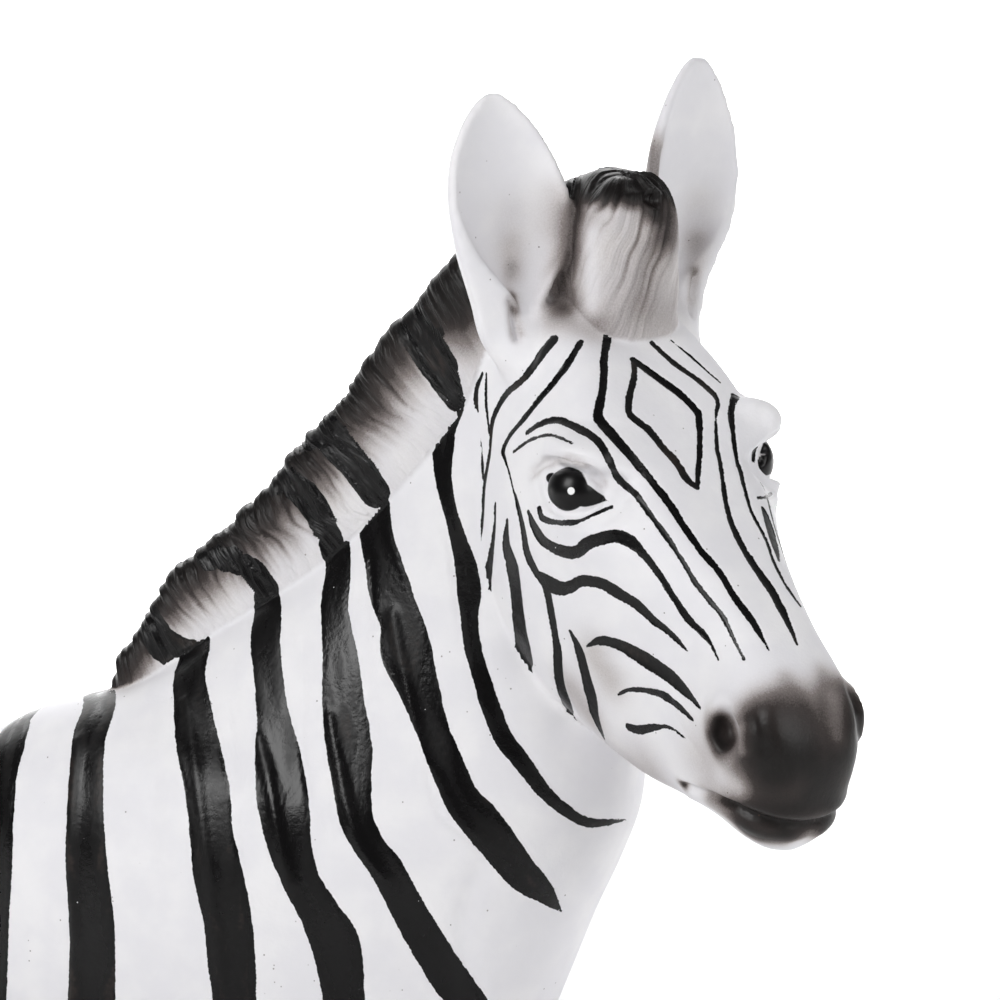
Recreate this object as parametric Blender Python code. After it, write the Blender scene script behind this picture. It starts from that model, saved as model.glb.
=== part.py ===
# Zebra bust: the head, neck and shoulders of a zebra, cast in one piece of resin
# and cut flat below the shoulder, so that it stands on its underside.
#
# Every share below is in hundredths of the head's length, poll to lips, so that
# the whole figure follows HEAD_LENGTH. The row's frame: +X is where the body
# faces, +Y is its left, +Z is up, and the origin is on the flat underside.

import math

import bmesh
import bpy
import numpy as np
from mathutils import Euler, Matrix, Vector

HEAD_LENGTH = 0.100
SHARE = HEAD_LENGTH / 100

# The head's place: the poll, and how the head turns on the neck, in degrees.
POLL = (58.0, -12.0, 127.7)
HEAD_TURN = -42.1
HEAD_NOD = 45.9
HEAD_ROLL = 3.2

# The casting is fused from overlapping forms in cubes of this size.
FUSE_CUBE = 0.65
FUSE_SMOOTHING = 10
MOST_TRIANGLES = 9600


# Smooth curves through key rows

def smooth_rows(rows, count):
    """The rows joined by a Catmull-Rom curve, and read at count even steps."""
    rows = np.asarray(rows, float)
    ends = np.vstack([2 * rows[0] - rows[1], rows, 2 * rows[-1] - rows[-2]])
    place = np.linspace(0, len(rows) - 1, count)
    first = np.minimum(place.astype(int), len(rows) - 2)
    t = (place - first)[:, None]
    a, b, c, d = (ends[first + k] for k in range(4))
    return 0.5 * (2 * b + (c - a) * t + (2 * a - 5 * b + 4 * c - d) * t**2
                  + (3 * b - 3 * c + d - a) * t**3)


def smooth_loop(corners, count):
    """A closed Catmull-Rom curve through the corners."""
    corners = np.asarray(corners, float)
    place = np.linspace(0, len(corners), count, endpoint=False)
    first = place.astype(int)
    t = (place - first)[:, None]
    a, b, c, d = (corners[(first + k - 1) % len(corners)] for k in range(4))
    return 0.5 * (2 * b + (c - a) * t + (2 * a - 5 * b + 4 * c - d) * t**2
                  + (3 * b - 3 * c + d - a) * t**3)


def soft_step(x, low, high):
    """0 below low, 1 above high, and smooth between."""
    t = np.clip((x - low) / (high - low), 0, 1)
    return t * t * (3 - 2 * t)


# Head frame: x runs from the poll to the lips, y to the left, z out of the forehead

def head_matrix():
    turn = Euler((0, math.radians(HEAD_NOD), math.radians(HEAD_TURN)), "XYZ").to_matrix()
    roll = Matrix.Rotation(math.radians(HEAD_ROLL), 3, "X")
    return Matrix.Translation(POLL) @ (turn @ roll).to_4x4()


HEAD = np.array(head_matrix())


def from_head(points):
    return np.asarray(points, float) @ HEAD[:3, :3].T + HEAD[:3, 3]


def to_head(points):
    return (np.asarray(points, float) - HEAD[:3, 3]) @ HEAD[:3, :3]


# Lofted forms

def loft(form, rings):
    """Adds the closed skin over the rings, each an equal list of points."""
    verts = [[form.verts.new(Vector(p) * SHARE) for p in ring] for ring in rings]
    across = len(verts[0])
    for lower, upper in zip(verts, verts[1:]):
        for k in range(across):
            n = (k + 1) % across
            form.faces.new((lower[k], lower[n], upper[n], upper[k]))
    for ring, flip in ((verts[0], True), (verts[-1], False)):
        middle = sum((v.co for v in ring), Vector()) / across
        hub = form.verts.new(middle)
        for k in range(across):
            pair = (ring[k], ring[(k + 1) % across])
            form.faces.new((hub, *(pair[::-1] if flip else pair)))


# Neck: crest x, crest z, throat x, throat z, sideways place, half width, turn
NECK = (
    (-62.0, -12.0, 45.0, -7.0, 0.0, 27.0, 0.0),
    (-63.2, 9.1, 50.0, 5.4, 0.0, 28.0, 0.0),
    (-61.5, 35.5, 55.0, 17.9, 0.0, 27.5, 0.0),
    (-45.0, 48.8, 59.5, 27.7, 0.0, 26.0, 0.0),
    (-26.3, 54.9, 62.8, 37.4, 0.0, 23.5, -1.0),
    (-9.7, 65.8, 63.3, 48.9, -0.6, 20.2, -4.0),
    (10.6, 80.2, 62.4, 63.0, -1.2, 17.2, -11.0),
    (27.2, 97.9, 60.4, 78.7, -3.4, 15.0, -21.0),
    (42.0, 115.8, 60.2, 94.1, -6.8, 13.6, -32.0),
    (51.0, 122.0, 63.0, 104.0, -10.0, 12.0, -40.0),
)
NECK_FULLNESS = 0.80
NECK_TAPER = 0.22


def neck_rings(rows=60, across=64):
    """Sections of the neck, each from the crest round to the throat and back."""
    angle = np.linspace(0, 2 * math.pi, across, endpoint=False)
    for xc, zc, xt, zt, y, half, turn in smooth_rows(NECK, rows):
        side = np.array([-math.sin(math.radians(turn)), math.cos(math.radians(turn)), 0])
        crest, throat = np.array([xc, y, zc]), np.array([xt, y, zt])
        middle, reach = (crest + throat) / 2, (crest - throat) / 2
        wide = np.sign(np.sin(angle)) * np.abs(np.sin(angle)) ** NECK_FULLNESS
        wide = wide * half * (1 - NECK_TAPER * np.cos(angle))
        yield middle + np.outer(np.cos(angle), reach) + np.outer(wide, side)


# Head: place along it, top, upper corner's half width and height, widest half
# width and height, lower half width and height, and bottom
SKULL = (
    (-12.5, -14.0, 3.0, -14.6, 5.0, -18.0, 4.0, -22.5, -24.0),
    (-10.5, -11.0, 6.5, -12.6, 9.5, -18.0, 8.0, -26.0, -29.5),
    (-6.0, -8.0, 8.5, -9.8, 13.2, -18.0, 12.0, -28.5, -33.5),
    (3.0, -2.0, 11.5, -4.0, 16.0, -17.0, 15.2, -31.0, -38.0),
    (14.0, 0.5, 13.5, -1.6, 17.2, -18.0, 16.2, -36.0, -46.0),
    (26.0, 0.6, 15.6, -1.6, 18.8, -17.0, 17.4, -41.0, -52.5),
    (36.0, -0.6, 14.4, -3.0, 18.6, -15.5, 16.8, -44.0, -55.0),
    (47.0, -1.8, 11.0, -3.8, 16.0, -16.0, 14.4, -44.0, -54.0),
    (58.0, -2.0, 8.6, -4.0, 13.0, -15.5, 12.0, -41.0, -50.5),
    (69.0, -2.0, 7.6, -4.2, 11.0, -14.5, 10.4, -36.5, -45.0),
    (77.0, -2.6, 8.2, -4.8, 11.6, -13.5, 9.6, -31.5, -39.0),
    (84.0, -4.6, 8.8, -6.4, 11.4, -13.5, 8.8, -27.5, -34.6),
    (90.0, -8.0, 7.0, -9.8, 9.2, -16.5, 8.0, -25.6, -31.3),
    (94.0, -13.0, 4.6, -14.4, 6.6, -20.0, 6.0, -24.8, -28.5),
    (96.2, -18.0, 2.0, -18.8, 3.2, -21.5, 2.8, -23.9, -25.6),
)


def skull_rings(rows=70, across=64):
    """Sections of the head across its own length."""
    for x, top, w1, z1, w2, z2, w3, z3, low in smooth_rows(SKULL, rows):
        half = [(0, top), (w1, z1), (w2, z2), (w3, z3), (0, low)]
        other = [(-w, z) for w, z in half[-2:0:-1]]
        section = smooth_loop(half + other, across)
        yield from_head([(x, w, z) for w, z in section])


# Ears: a leaf rolled into a cup, standing upright whatever the head's nod, with
# a thick outer wall at the root. 1 is the left ear and -1 the right ear.
EAR_BASES = {1: (4.0, 19.0, -4.0), -1: (4.0, -14.0, -4.0)}
EAR_HEIGHTS = {1: 40.3, -1: 36.6}
EAR_LEANS = {1: 0.8, -1: 6.8}
EAR_FLARES = {1: -0.9, -1: 1.0}
EAR_OPENING_TURN = 10.0
EAR_RIM = 0.5
# Share of the height, half width, depth of the back, outward shift of the whole;
# then the cup's half width, depth and inward shift
EAR = (
    (-0.34, 3.0, 4.0, 1.0, 2.6, -3.0, 0.0),
    (-0.18, 5.0, 6.0, 2.6, 4.0, -3.0, 0.4),
    (-0.06, 5.6, 7.0, 3.2, 3.0, -1.6, 1.8),
    (0.04, 6.1, 7.6, 2.9, 1.5, 1.6, 3.0),
    (0.15, 7.7, 8.0, 2.0, 3.7, 4.4, 2.2),
    (0.30, 10.2, 7.8, 0.5, 7.7, 5.0, 0.9),
    (0.50, 11.0, 6.2, 0.0, 9.4, 3.7, 0.1),
    (0.68, 9.9, 4.8, 0.0, 8.3, 2.3, 0.0),
    (0.84, 7.1, 3.4, 0.0, 5.6, 1.0, 0.0),
    (0.95, 3.9, 2.2, 0.0, 2.6, 0.2, 0.0),
    (1.00, 1.3, 1.3, 0.0, 0.7, 0.0, 0.0),
)


def ear_rings(side, rows=44, across=44):
    """Crescent sections of one ear, from its root to its tip."""
    base = from_head([EAR_BASES[side]])[0]
    yaw = math.radians(HEAD_TURN + side * EAR_OPENING_TURN)
    opening = np.array([math.cos(yaw), math.sin(yaw), 0])
    outward = np.array([-math.sin(yaw), math.cos(yaw), 0]) * side
    rise = np.array([0, 0, EAR_HEIGHTS[side]]) + HEAD[:3, 1] * side * EAR_LEANS[side]
    arc = np.linspace(0, math.pi, across // 2)
    for t, width, depth, out, cup, cup_depth, inward in smooth_rows(EAR, rows):
        back = np.stack([width * np.cos(arc), -depth * np.sin(arc)], 1)
        front = np.stack([-cup * np.cos(arc) - inward,
                          EAR_RIM - (EAR_RIM + cup_depth) * np.sin(arc)], 1)
        loop = np.vstack([back, front])
        middle = base + rise * t + outward * out * EAR_FLARES[side]
        yield middle + np.outer(loop[:, 0], outward) + np.outer(loop[:, 1], opening)


# Mane: the root line on the crest, the height above it, and half the thickness,
# from the withers up the neck and over the poll to the forelock
MANE = (
    (-29.0, 0.0, 52.0, -0.35, 0.94, 2.0, 2.5),
    (-23.0, -0.3, 54.5, -0.40, 0.92, 8.0, 4.5),
    (-9.5, -1.0, 64.5, -0.62, 0.78, 13.0, 5.0),
    (11.0, -3.0, 79.0, -0.70, 0.70, 16.2, 5.2),
    (27.5, -6.5, 96.5, -0.74, 0.66, 17.9, 5.4),
    (40.5, -9.6, 112.0, -0.62, 0.76, 17.8, 5.6),
    (50.3, -10.0, 121.0, -0.35, 0.92, 19.4, 6.4),
    (57.6, -10.4, 123.0, 0.0, 1.00, 21.4, 7.4),
    (62.1, -13.7, 121.0, 0.05, 1.00, 23.4, 8.4),
    (64.7, -16.0, 118.5, 0.05, 1.00, 24.6, 8.0),
    (66.0, -17.2, 117.5, 0.05, 1.00, 23.8, 6.2),
    (66.7, -17.9, 117.0, 0.05, 1.00, 21.0, 3.4),
)
MANE_FULLNESS = 0.60
MANE_FLARE = 0.10
MANE_LOBES = 8.5
MANE_LOBE_DEPTH = 1.0


def mane_rings(rows=110, across=36):
    """Upright oval sections of the mane, square to its own run."""
    line = smooth_rows(MANE, rows)
    run = np.gradient(line[:, :3], axis=0)
    angle = np.linspace(0, 2 * math.pi, across, endpoint=False)
    for k, (x, y, z, ux, uz, height, half) in enumerate(line):
        ahead = run[k] * (1, 1, 0)
        ahead /= np.linalg.norm(ahead)
        up = np.array([ux * ahead[0], ux * ahead[1], uz])
        up /= np.linalg.norm(up)
        side = np.array([-ahead[1], ahead[0], 0])
        lobe = MANE_LOBE_DEPTH * abs(math.sin(math.pi * MANE_LOBES * k / rows)) - 0.5
        low, high = -4.0, height + lobe
        middle, reach = (high + low) / 2, (high - low) / 2
        along = np.sign(np.cos(angle)) * np.abs(np.cos(angle)) ** MANE_FULLNESS * reach + middle
        wide = np.sign(np.sin(angle)) * np.abs(np.sin(angle)) ** MANE_FULLNESS * half
        wide = wide * (1 - MANE_FLARE * np.cos(angle))
        yield np.array([x, y, z]) + np.outer(along, up) + np.outer(wide, side)


# Eye: the middle of the left and of the right one, the way each faces and the way
# its slit runs, in the head's frame, with the swellings and hollows round it
EYES = {1: (34.7, 19.2, -7.2), -1: (35.3, 20.3, -8.0)}
EYE_FACES = (0.25, 0.85, 0.46)
EYE_RUNS = (0.709, -0.486, 0.513)
EYE_HALF = 4.9
EYE_ABOVE = 3.2
EYE_BELOW = 3.5
EYEBALL = 5.0
EYEBALL_PROUD = 0.9
LID = 0.7
BROW_RIDGE = 4.6
LOWER_RIDGE = 2.0
CHEEK_SWELL = 1.6
INNER_HOLLOW = 1.9
REAR_SWELL = 0.8


def local_frame(middle, faces, runs, side):
    """Middle, facing, running and rising directions of a carving on one side."""
    mirror = np.array([1, side, 1])
    faces = np.array(faces) * mirror
    faces /= np.linalg.norm(faces)
    runs = np.array(runs) * mirror
    runs -= faces * (runs @ faces)
    runs /= np.linalg.norm(runs)
    return np.array(middle) * mirror, faces, runs, np.cross(runs, faces) * side


def bump(x, middle, reach):
    """1 at the middle, and smoothly down to 0 on both sides."""
    return np.exp(-(((x - middle) / reach) ** 2))


def eye_swell(p, q, edge):
    """How far the skin round an eye rises, by place along, above and out of its slit."""
    brow = soft_step(q, 3.0, 4.8) * (1 - soft_step(q, 6.0, 11.5))
    swell = BROW_RIDGE * bump(p, 0, 6.5) * brow
    swell += LOWER_RIDGE * bump(p, 0.5, 5.0) * bump(q, -4.9, 1.9)
    swell += CHEEK_SWELL * bump(p, 3.0, 7.0) * bump(q, -8.0, 4.5)
    swell -= INNER_HOLLOW * bump(p, 7.0, 3.4) * bump(q, 0.8, 3.0)
    swell += REAR_SWELL * bump(p, -6.5, 2.5) * bump(q, 0, 4.0)
    swell += LID * bump(edge, 0.8, 0.7) * (1 - 0.8 * soft_step(q, 1.0, 3.0))
    return swell - np.where(q > 0, 0.5, 0.3) * bump(edge, 2.4, 0.6)


def shape_eyes(spots):
    """Sets each eyeball in its lids, under its brow."""
    for side in (1, -1):
        middle, faces, runs, rises = local_frame(EYES[side], EYE_FACES, EYE_RUNS, side)
        away = spots - middle
        p, q, h = away @ runs, away @ rises, away @ faces
        reach = np.where(q > 0, EYE_ABOVE, EYE_BELOW)
        edge = (np.hypot(p / EYE_HALF, q / reach) - 1) * reach
        ball = np.sqrt(np.clip(EYEBALL**2 - p**2 - q**2, 1, None)) - EYEBALL + EYEBALL_PROUD
        skin = soft_step(edge, -0.3, 0.4)
        moved = (1 - skin) * (ball - h) + skin * eye_swell(p, q, edge)
        near = 1 - soft_step(np.abs(h), 7.0, 10.0)
        spots = spots + np.outer(near * moved, faces)
    return spots


# Nostril: its middle, the way it opens, its half sizes and its depth
NOSTRIL = (81.4, 12.2, -11.0)
NOSTRIL_OPENS = (0.35, 0.80, 0.45)
NOSTRIL_RUNS = (0.80, -0.10, -0.50)
NOSTRIL_HALF = (4.2, 2.8)
NOSTRIL_DEPTH = 3.4
NOSTRIL_RIM = 0.7


def shape_nostrils(spots):
    for side in (1, -1):
        middle, opens, runs, rises = local_frame(NOSTRIL, NOSTRIL_OPENS, NOSTRIL_RUNS, side)
        away = spots - middle
        p, q, h = away @ runs, away @ rises, away @ opens
        r = np.hypot(p / NOSTRIL_HALF[0], q / NOSTRIL_HALF[1])
        pit = -NOSTRIL_DEPTH * (1 - soft_step(r, 0.2, 1.15))
        rim = NOSTRIL_RIM * bump(r, 1.4, 0.3)
        spots = spots + np.outer((pit + rim) * (np.abs(h) < 6), opens)
    return spots


# Mouth: the height of its line at places along the head, and its groove
MOUTH_LINE = ((77.0, -32.0), (80.5, -28.9), (84.3, -25.0), (89.0, -21.2), (96.0, -18.2))
MOUTH_CORNER = 78.5
MOUTH_DEPTH = 1.3
MOUTH_HALF_WIDTH = 0.9


def shape_mouth(spots, normals):
    x, z = spots[:, 0], spots[:, 2]
    line = np.interp(x, *zip(*MOUTH_LINE))
    groove = MOUTH_DEPTH * bump(z - line, 0, MOUTH_HALF_WIDTH)
    lips = 0.4 * bump(z - line, 2.4, 1.5) + 0.5 * bump(z - line, -2.6, 1.5)
    shown = soft_step(x, MOUTH_CORNER - 1.5, MOUTH_CORNER + 1.5)
    return spots + normals * ((lips - groove) * shown)[:, None]


# Where the skin is softened so that ears and forelock grow out of the head: each
# place in the head's frame, its reach and the rounds of softening
SOFT = (
    ((9.5, 16.5, -10.0), 8.5, 60),
    ((9.5, -16.5, -10.0), 8.5, 60),
    ((10.5, 0.0, -0.5), 6.0, 40),
    ((9.5, 6.5, -1.0), 5.0, 40),
    ((9.5, -6.5, -1.0), 5.0, 40),
)
SOFT_STRENGTH = 0.5


def soften(spots, edges):
    """Evens out the skin by drawing each point toward its neighbours."""
    count = len(spots)
    ends = np.concatenate([edges, edges[:, ::-1]])
    valence = np.bincount(ends[:, 0], minlength=count)[:, None]
    for place, reach, rounds in SOFT:
        away = np.linalg.norm(spots - place, axis=1) / reach
        hold = SOFT_STRENGTH * (1 - soft_step(away, 0.3, 1.0))[:, None]
        for _ in range(rounds):
            near = spots[ends[:, 1]]
            total = [np.bincount(ends[:, 0], near[:, k], count) for k in range(3)]
            spots = spots + hold * (np.stack(total, 1) / valence - spots)
    return spots


def shape_face(mesh):
    """Moves the skin's points where the eyes, nostrils and mouth are carved."""
    count = len(mesh.vertices)
    spots, normals = np.empty(count * 3), np.empty(count * 3)
    edges = np.empty(len(mesh.edges) * 2, int)
    mesh.vertices.foreach_get("co", spots)
    mesh.vertices.foreach_get("normal", normals)
    mesh.edges.foreach_get("vertices", edges)
    spots = to_head(spots.reshape(-1, 3) / SHARE)
    normals = normals.reshape(-1, 3) @ HEAD[:3, :3]
    spots = soften(spots, edges.reshape(-1, 2))
    spots = shape_mouth(spots, normals)
    spots = shape_nostrils(spots)
    spots = shape_eyes(spots)
    mesh.vertices.foreach_set("co", (from_head(spots) * SHARE).ravel())
    mesh.update()


def evaluated_mesh(obj):
    graph = bpy.context.evaluated_depsgraph_get()
    return bpy.data.meshes.new_from_object(obj.evaluated_get(graph))


def fused(form):
    """The overlapping forms made one smooth skin."""
    mesh = bpy.data.meshes.new("forms")
    form.to_mesh(mesh)
    obj = bpy.data.objects.new("forms", mesh)
    bpy.context.scene.collection.objects.link(obj)
    remesh = obj.modifiers.new("Fuse", "REMESH")
    remesh.mode = "VOXEL"
    remesh.voxel_size = FUSE_CUBE * SHARE
    smooth = obj.modifiers.new("Smooth", "SMOOTH")
    smooth.factor = 0.5
    smooth.iterations = round(FUSE_SMOOTHING)
    bpy.context.view_layer.update()
    skin = evaluated_mesh(obj)
    bpy.data.objects.remove(obj)
    return skin


def cut_flat(mesh):
    """Cuts the skin off at the underside and closes it with one flat face."""
    form = bmesh.new()
    form.from_mesh(mesh)
    everything = [*form.verts, *form.edges, *form.faces]
    bmesh.ops.bisect_plane(form, geom=everything, plane_co=(0, 0, 0),
                           plane_no=(0, 0, 1), clear_inner=True)
    rim = [e for e in form.edges if e.is_boundary]
    for vert in {v for e in rim for v in e.verts}:
        vert.co.z = 0
    bmesh.ops.contextual_create(form, geom=rim)
    bmesh.ops.recalc_face_normals(form, faces=form.faces)
    form.to_mesh(mesh)
    form.free()


def resin():
    material = bpy.data.materials.new("painted_resin")
    material.use_nodes = True
    shader = material.node_tree.nodes["Principled BSDF"]
    shader.inputs["Base Color"].default_value = (0.86, 0.85, 0.84, 1)
    shader.inputs["Roughness"].default_value = 0.5
    return material


def main():
    for obj in list(bpy.data.objects):
        bpy.data.objects.remove(obj)
    form = bmesh.new()
    loft(form, neck_rings())
    loft(form, skull_rings())
    for side in (1, -1):
        loft(form, ear_rings(side))
    loft(form, mane_rings())
    bmesh.ops.recalc_face_normals(form, faces=form.faces)
    skin = fused(form)
    form.free()
    shape_face(skin)
    cut_flat(skin)
    skin.materials.append(resin())
    bust = bpy.data.objects.new("zebra_bust", skin)
    bpy.context.scene.collection.objects.link(bust)
    triangles = sum(len(face.vertices) - 2 for face in skin.polygons)
    reduce = bust.modifiers.new("Reduce", "DECIMATE")
    reduce.ratio = min(1.0, MOST_TRIANGLES / triangles)


main()
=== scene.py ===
import math

import bmesh
import bpy
import numpy as np
from mathutils import Euler, Matrix, Vector
from mathutils.bvhtree import BVHTree


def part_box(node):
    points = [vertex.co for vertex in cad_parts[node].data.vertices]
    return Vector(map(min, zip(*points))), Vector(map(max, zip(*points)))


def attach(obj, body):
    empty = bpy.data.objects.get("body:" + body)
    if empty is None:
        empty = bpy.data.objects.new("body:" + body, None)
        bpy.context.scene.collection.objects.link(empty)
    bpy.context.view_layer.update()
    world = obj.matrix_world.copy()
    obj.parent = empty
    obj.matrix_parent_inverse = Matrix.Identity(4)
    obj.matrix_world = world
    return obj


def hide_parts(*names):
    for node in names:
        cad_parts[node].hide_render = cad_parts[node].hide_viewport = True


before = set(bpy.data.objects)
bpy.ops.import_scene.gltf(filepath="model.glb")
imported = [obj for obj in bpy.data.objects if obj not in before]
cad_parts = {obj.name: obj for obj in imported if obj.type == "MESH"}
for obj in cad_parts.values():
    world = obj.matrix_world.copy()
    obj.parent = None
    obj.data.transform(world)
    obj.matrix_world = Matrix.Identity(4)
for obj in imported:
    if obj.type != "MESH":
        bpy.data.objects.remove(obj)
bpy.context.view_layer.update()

# Zebra bust: one casting of resin filled with stone powder, painted matt white by
# spray, brushed with glossy black stripes and shaded with brown-black airbrush.
# Lengths are in millimetres at the row's own size, and UNIT makes them metres.
low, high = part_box("zebra_bust")
CAST_HEIGHT = 162.78
UNIT = (high.z - low.z) / CAST_HEIGHT


# Camera: from the animal's right front, a little above its chin

AIM = np.array([41.0, -10.0, 90.0])
CAMERA_TURN = math.radians(12)
CAMERA_RISE = math.radians(8)
CAMERA_AWAY = 660.0
LENS = 143.5
SENSOR = 36.0

BACK = np.array([math.sin(CAMERA_TURN) * math.cos(CAMERA_RISE),
                 -math.cos(CAMERA_TURN) * math.cos(CAMERA_RISE),
                 math.sin(CAMERA_RISE)])
RIGHT = np.array([math.cos(CAMERA_TURN), math.sin(CAMERA_TURN), 0.0])
UP = np.cross(BACK, RIGHT)
EYEPOINT = AIM + BACK * CAMERA_AWAY


def add_camera():
    data = bpy.data.cameras.new("studio_camera")
    data.sensor_width = SENSOR
    data.lens = LENS
    data.clip_start = 0.05 * CAMERA_AWAY * UNIT
    data.clip_end = 20 * CAMERA_AWAY * UNIT
    camera = bpy.data.objects.new("studio_camera", data)
    place = np.eye(4)
    place[:3, 0], place[:3, 1], place[:3, 2] = RIGHT, UP, BACK
    place[:3, 3] = EYEPOINT * UNIT
    camera.matrix_world = Matrix(place)
    bpy.context.scene.collection.objects.link(camera)
    bpy.context.scene.camera = camera


add_camera()


# Form of the casting: necks, skull, ears and mane are lofts of key sections

POLL = (58.0, -12.0, 127.7)
HEAD_TURN = -42.1
HEAD_NOD = 45.9
HEAD_ROLL = 3.2
FUSE_CUBE = 0.60
FUSE_SMOOTHING = 12
FUSE_SHARE = 0.5


def smooth_rows(rows, count):
    """The rows joined by a Catmull-Rom curve, and read at count even steps."""
    rows = np.asarray(rows, float)
    ends = np.vstack([2 * rows[0] - rows[1], rows, 2 * rows[-1] - rows[-2]])
    place = np.linspace(0, len(rows) - 1, count)
    first = np.minimum(place.astype(int), len(rows) - 2)
    t = (place - first)[:, None]
    a, b, c, d = (ends[first + k] for k in range(4))
    return 0.5 * (2 * b + (c - a) * t + (2 * a - 5 * b + 4 * c - d) * t**2
                  + (3 * b - 3 * c + d - a) * t**3)


def smooth_loop(corners, count):
    """A closed Catmull-Rom curve through the corners."""
    corners = np.asarray(corners, float)
    place = np.linspace(0, len(corners), count, endpoint=False)
    first = place.astype(int)
    t = (place - first)[:, None]
    a, b, c, d = (corners[(first + k - 1) % len(corners)] for k in range(4))
    return 0.5 * (2 * b + (c - a) * t + (2 * a - 5 * b + 4 * c - d) * t**2
                  + (3 * b - 3 * c + d - a) * t**3)


def soft_step(x, low, high):
    """0 below low, 1 above high, and smooth between."""
    t = np.clip((x - low) / (high - low), 0, 1)
    return t * t * (3 - 2 * t)


def bump(x, middle, reach):
    """1 at the middle, and smoothly down to 0 on both sides."""
    return np.exp(-(((x - middle) / reach) ** 2))


def value_noise(x, seed):
    """Smooth one-way noise between -1 and 1, one bump to each whole step of x."""
    table = np.random.default_rng(seed).uniform(-1, 1, 512)
    cell = np.floor(x).astype(int)
    t = soft_step(x - cell, 0, 1)
    return table[cell % 512] * (1 - t) + table[(cell + 1) % 512] * t


# Head frame: x runs from the poll to the lips, y to the left, z out of the forehead

def head_matrix():
    turn = Euler((0, math.radians(HEAD_NOD), math.radians(HEAD_TURN)), "XYZ").to_matrix()
    roll = Matrix.Rotation(math.radians(HEAD_ROLL), 3, "X")
    return Matrix.Translation(POLL) @ (turn @ roll).to_4x4()


HEAD = np.array(head_matrix())


def from_head(points):
    return np.asarray(points, float) @ HEAD[:3, :3].T + HEAD[:3, 3]


def to_head(points):
    return (np.asarray(points, float) - HEAD[:3, 3]) @ HEAD[:3, :3]


def loft(rings):
    """Corners and faces of the closed skin over the rings, each an equal list of points."""
    rings = np.array(list(rings))
    count, across = rings.shape[:2]
    spots = rings.reshape(-1, 3)
    k = np.arange(across)
    n = (k + 1) % across
    faces = []
    for ring in range(count - 1):
        here, there = ring * across, (ring + 1) * across
        faces += np.stack([here + k, here + n, there + n, there + k], 1).tolist()
    for ring, flip in ((0, True), (count - 1, False)):
        hub = len(spots)
        spots = np.vstack([spots, rings[ring].mean(axis=0)])
        fan = np.stack([np.full(across, hub), ring * across + k, ring * across + n], 1)
        faces += (fan[:, ::-1] if flip else fan).tolist()
    return spots, faces


# Neck: crest x, crest z, throat x, throat z, sideways place, half width, turn
NECK = (
    (-62.0, -12.0, 45.0, -7.0, 0.0, 27.0, 0.0),
    (-63.2, 9.1, 50.0, 5.4, 0.0, 28.0, 0.0),
    (-61.5, 35.5, 55.0, 17.9, 0.0, 27.5, 0.0),
    (-45.0, 48.8, 59.5, 27.7, 0.0, 26.0, 0.0),
    (-26.3, 54.9, 62.8, 37.4, 0.0, 23.5, -1.0),
    (-9.7, 65.8, 63.3, 48.9, -0.6, 20.2, -4.0),
    (10.6, 80.2, 62.4, 63.0, -1.2, 17.2, -11.0),
    (27.2, 97.9, 60.4, 78.7, -3.4, 15.0, -21.0),
    (42.0, 115.8, 60.2, 94.1, -6.8, 13.6, -32.0),
    (51.0, 122.0, 63.0, 104.0, -10.0, 12.0, -40.0),
)
NECK_FULLNESS = 0.80
NECK_TAPER = 0.22


def neck_sections(rows):
    """Middle, reach from middle to crest, side direction and half width of each section."""
    for xc, zc, xt, zt, y, half, turn in smooth_rows(NECK, rows):
        side = np.array([-math.sin(math.radians(turn)), math.cos(math.radians(turn)), 0])
        crest, throat = np.array([xc, y, zc]), np.array([xt, y, zt])
        yield (crest + throat) / 2, (crest - throat) / 2, side, half


def neck_rings(rows=60, across=64):
    """Sections of the neck, each from the crest round to the throat and back."""
    angle = np.linspace(0, 2 * math.pi, across, endpoint=False)
    for middle, reach, side, half in neck_sections(rows):
        wide = np.sign(np.sin(angle)) * np.abs(np.sin(angle)) ** NECK_FULLNESS
        wide = wide * half * (1 - NECK_TAPER * np.cos(angle))
        yield middle + np.outer(np.cos(angle), reach) + np.outer(wide, side)


# Head: place along it, top, upper corner's half width and height, widest half
# width and height, lower half width and height, and bottom
SKULL = (
    (-12.5, -14.0, 3.0, -14.6, 5.0, -18.0, 4.0, -22.5, -24.0),
    (-10.5, -11.0, 6.5, -12.6, 9.5, -18.0, 8.0, -26.0, -29.5),
    (-6.0, -8.0, 8.5, -9.8, 13.2, -18.0, 12.0, -28.5, -33.5),
    (3.0, -2.0, 11.5, -4.0, 16.0, -17.0, 15.2, -31.0, -38.0),
    (14.0, 0.5, 13.5, -1.6, 17.2, -18.0, 16.2, -36.0, -46.0),
    (26.0, 0.6, 15.6, -1.6, 18.8, -17.0, 17.4, -41.0, -52.5),
    (36.0, -0.6, 14.4, -3.0, 18.6, -15.5, 16.8, -44.0, -55.0),
    (47.0, -1.8, 11.0, -3.8, 16.0, -16.0, 14.4, -44.0, -54.0),
    (58.0, -2.0, 8.6, -4.0, 13.0, -15.5, 12.0, -41.0, -50.5),
    (69.0, -2.0, 7.6, -4.2, 11.0, -14.5, 10.4, -36.5, -45.0),
    (77.0, -2.6, 8.2, -4.8, 11.6, -13.5, 9.6, -31.5, -39.0),
    (84.0, -4.6, 8.8, -6.4, 11.4, -13.5, 8.8, -27.5, -34.6),
    (90.0, -8.0, 7.0, -9.8, 9.2, -16.5, 8.0, -25.6, -31.3),
    (94.0, -13.0, 4.6, -14.4, 6.6, -20.0, 6.0, -24.8, -28.5),
    (96.2, -18.0, 2.0, -18.8, 3.2, -21.5, 2.8, -23.9, -25.6),
)


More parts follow.
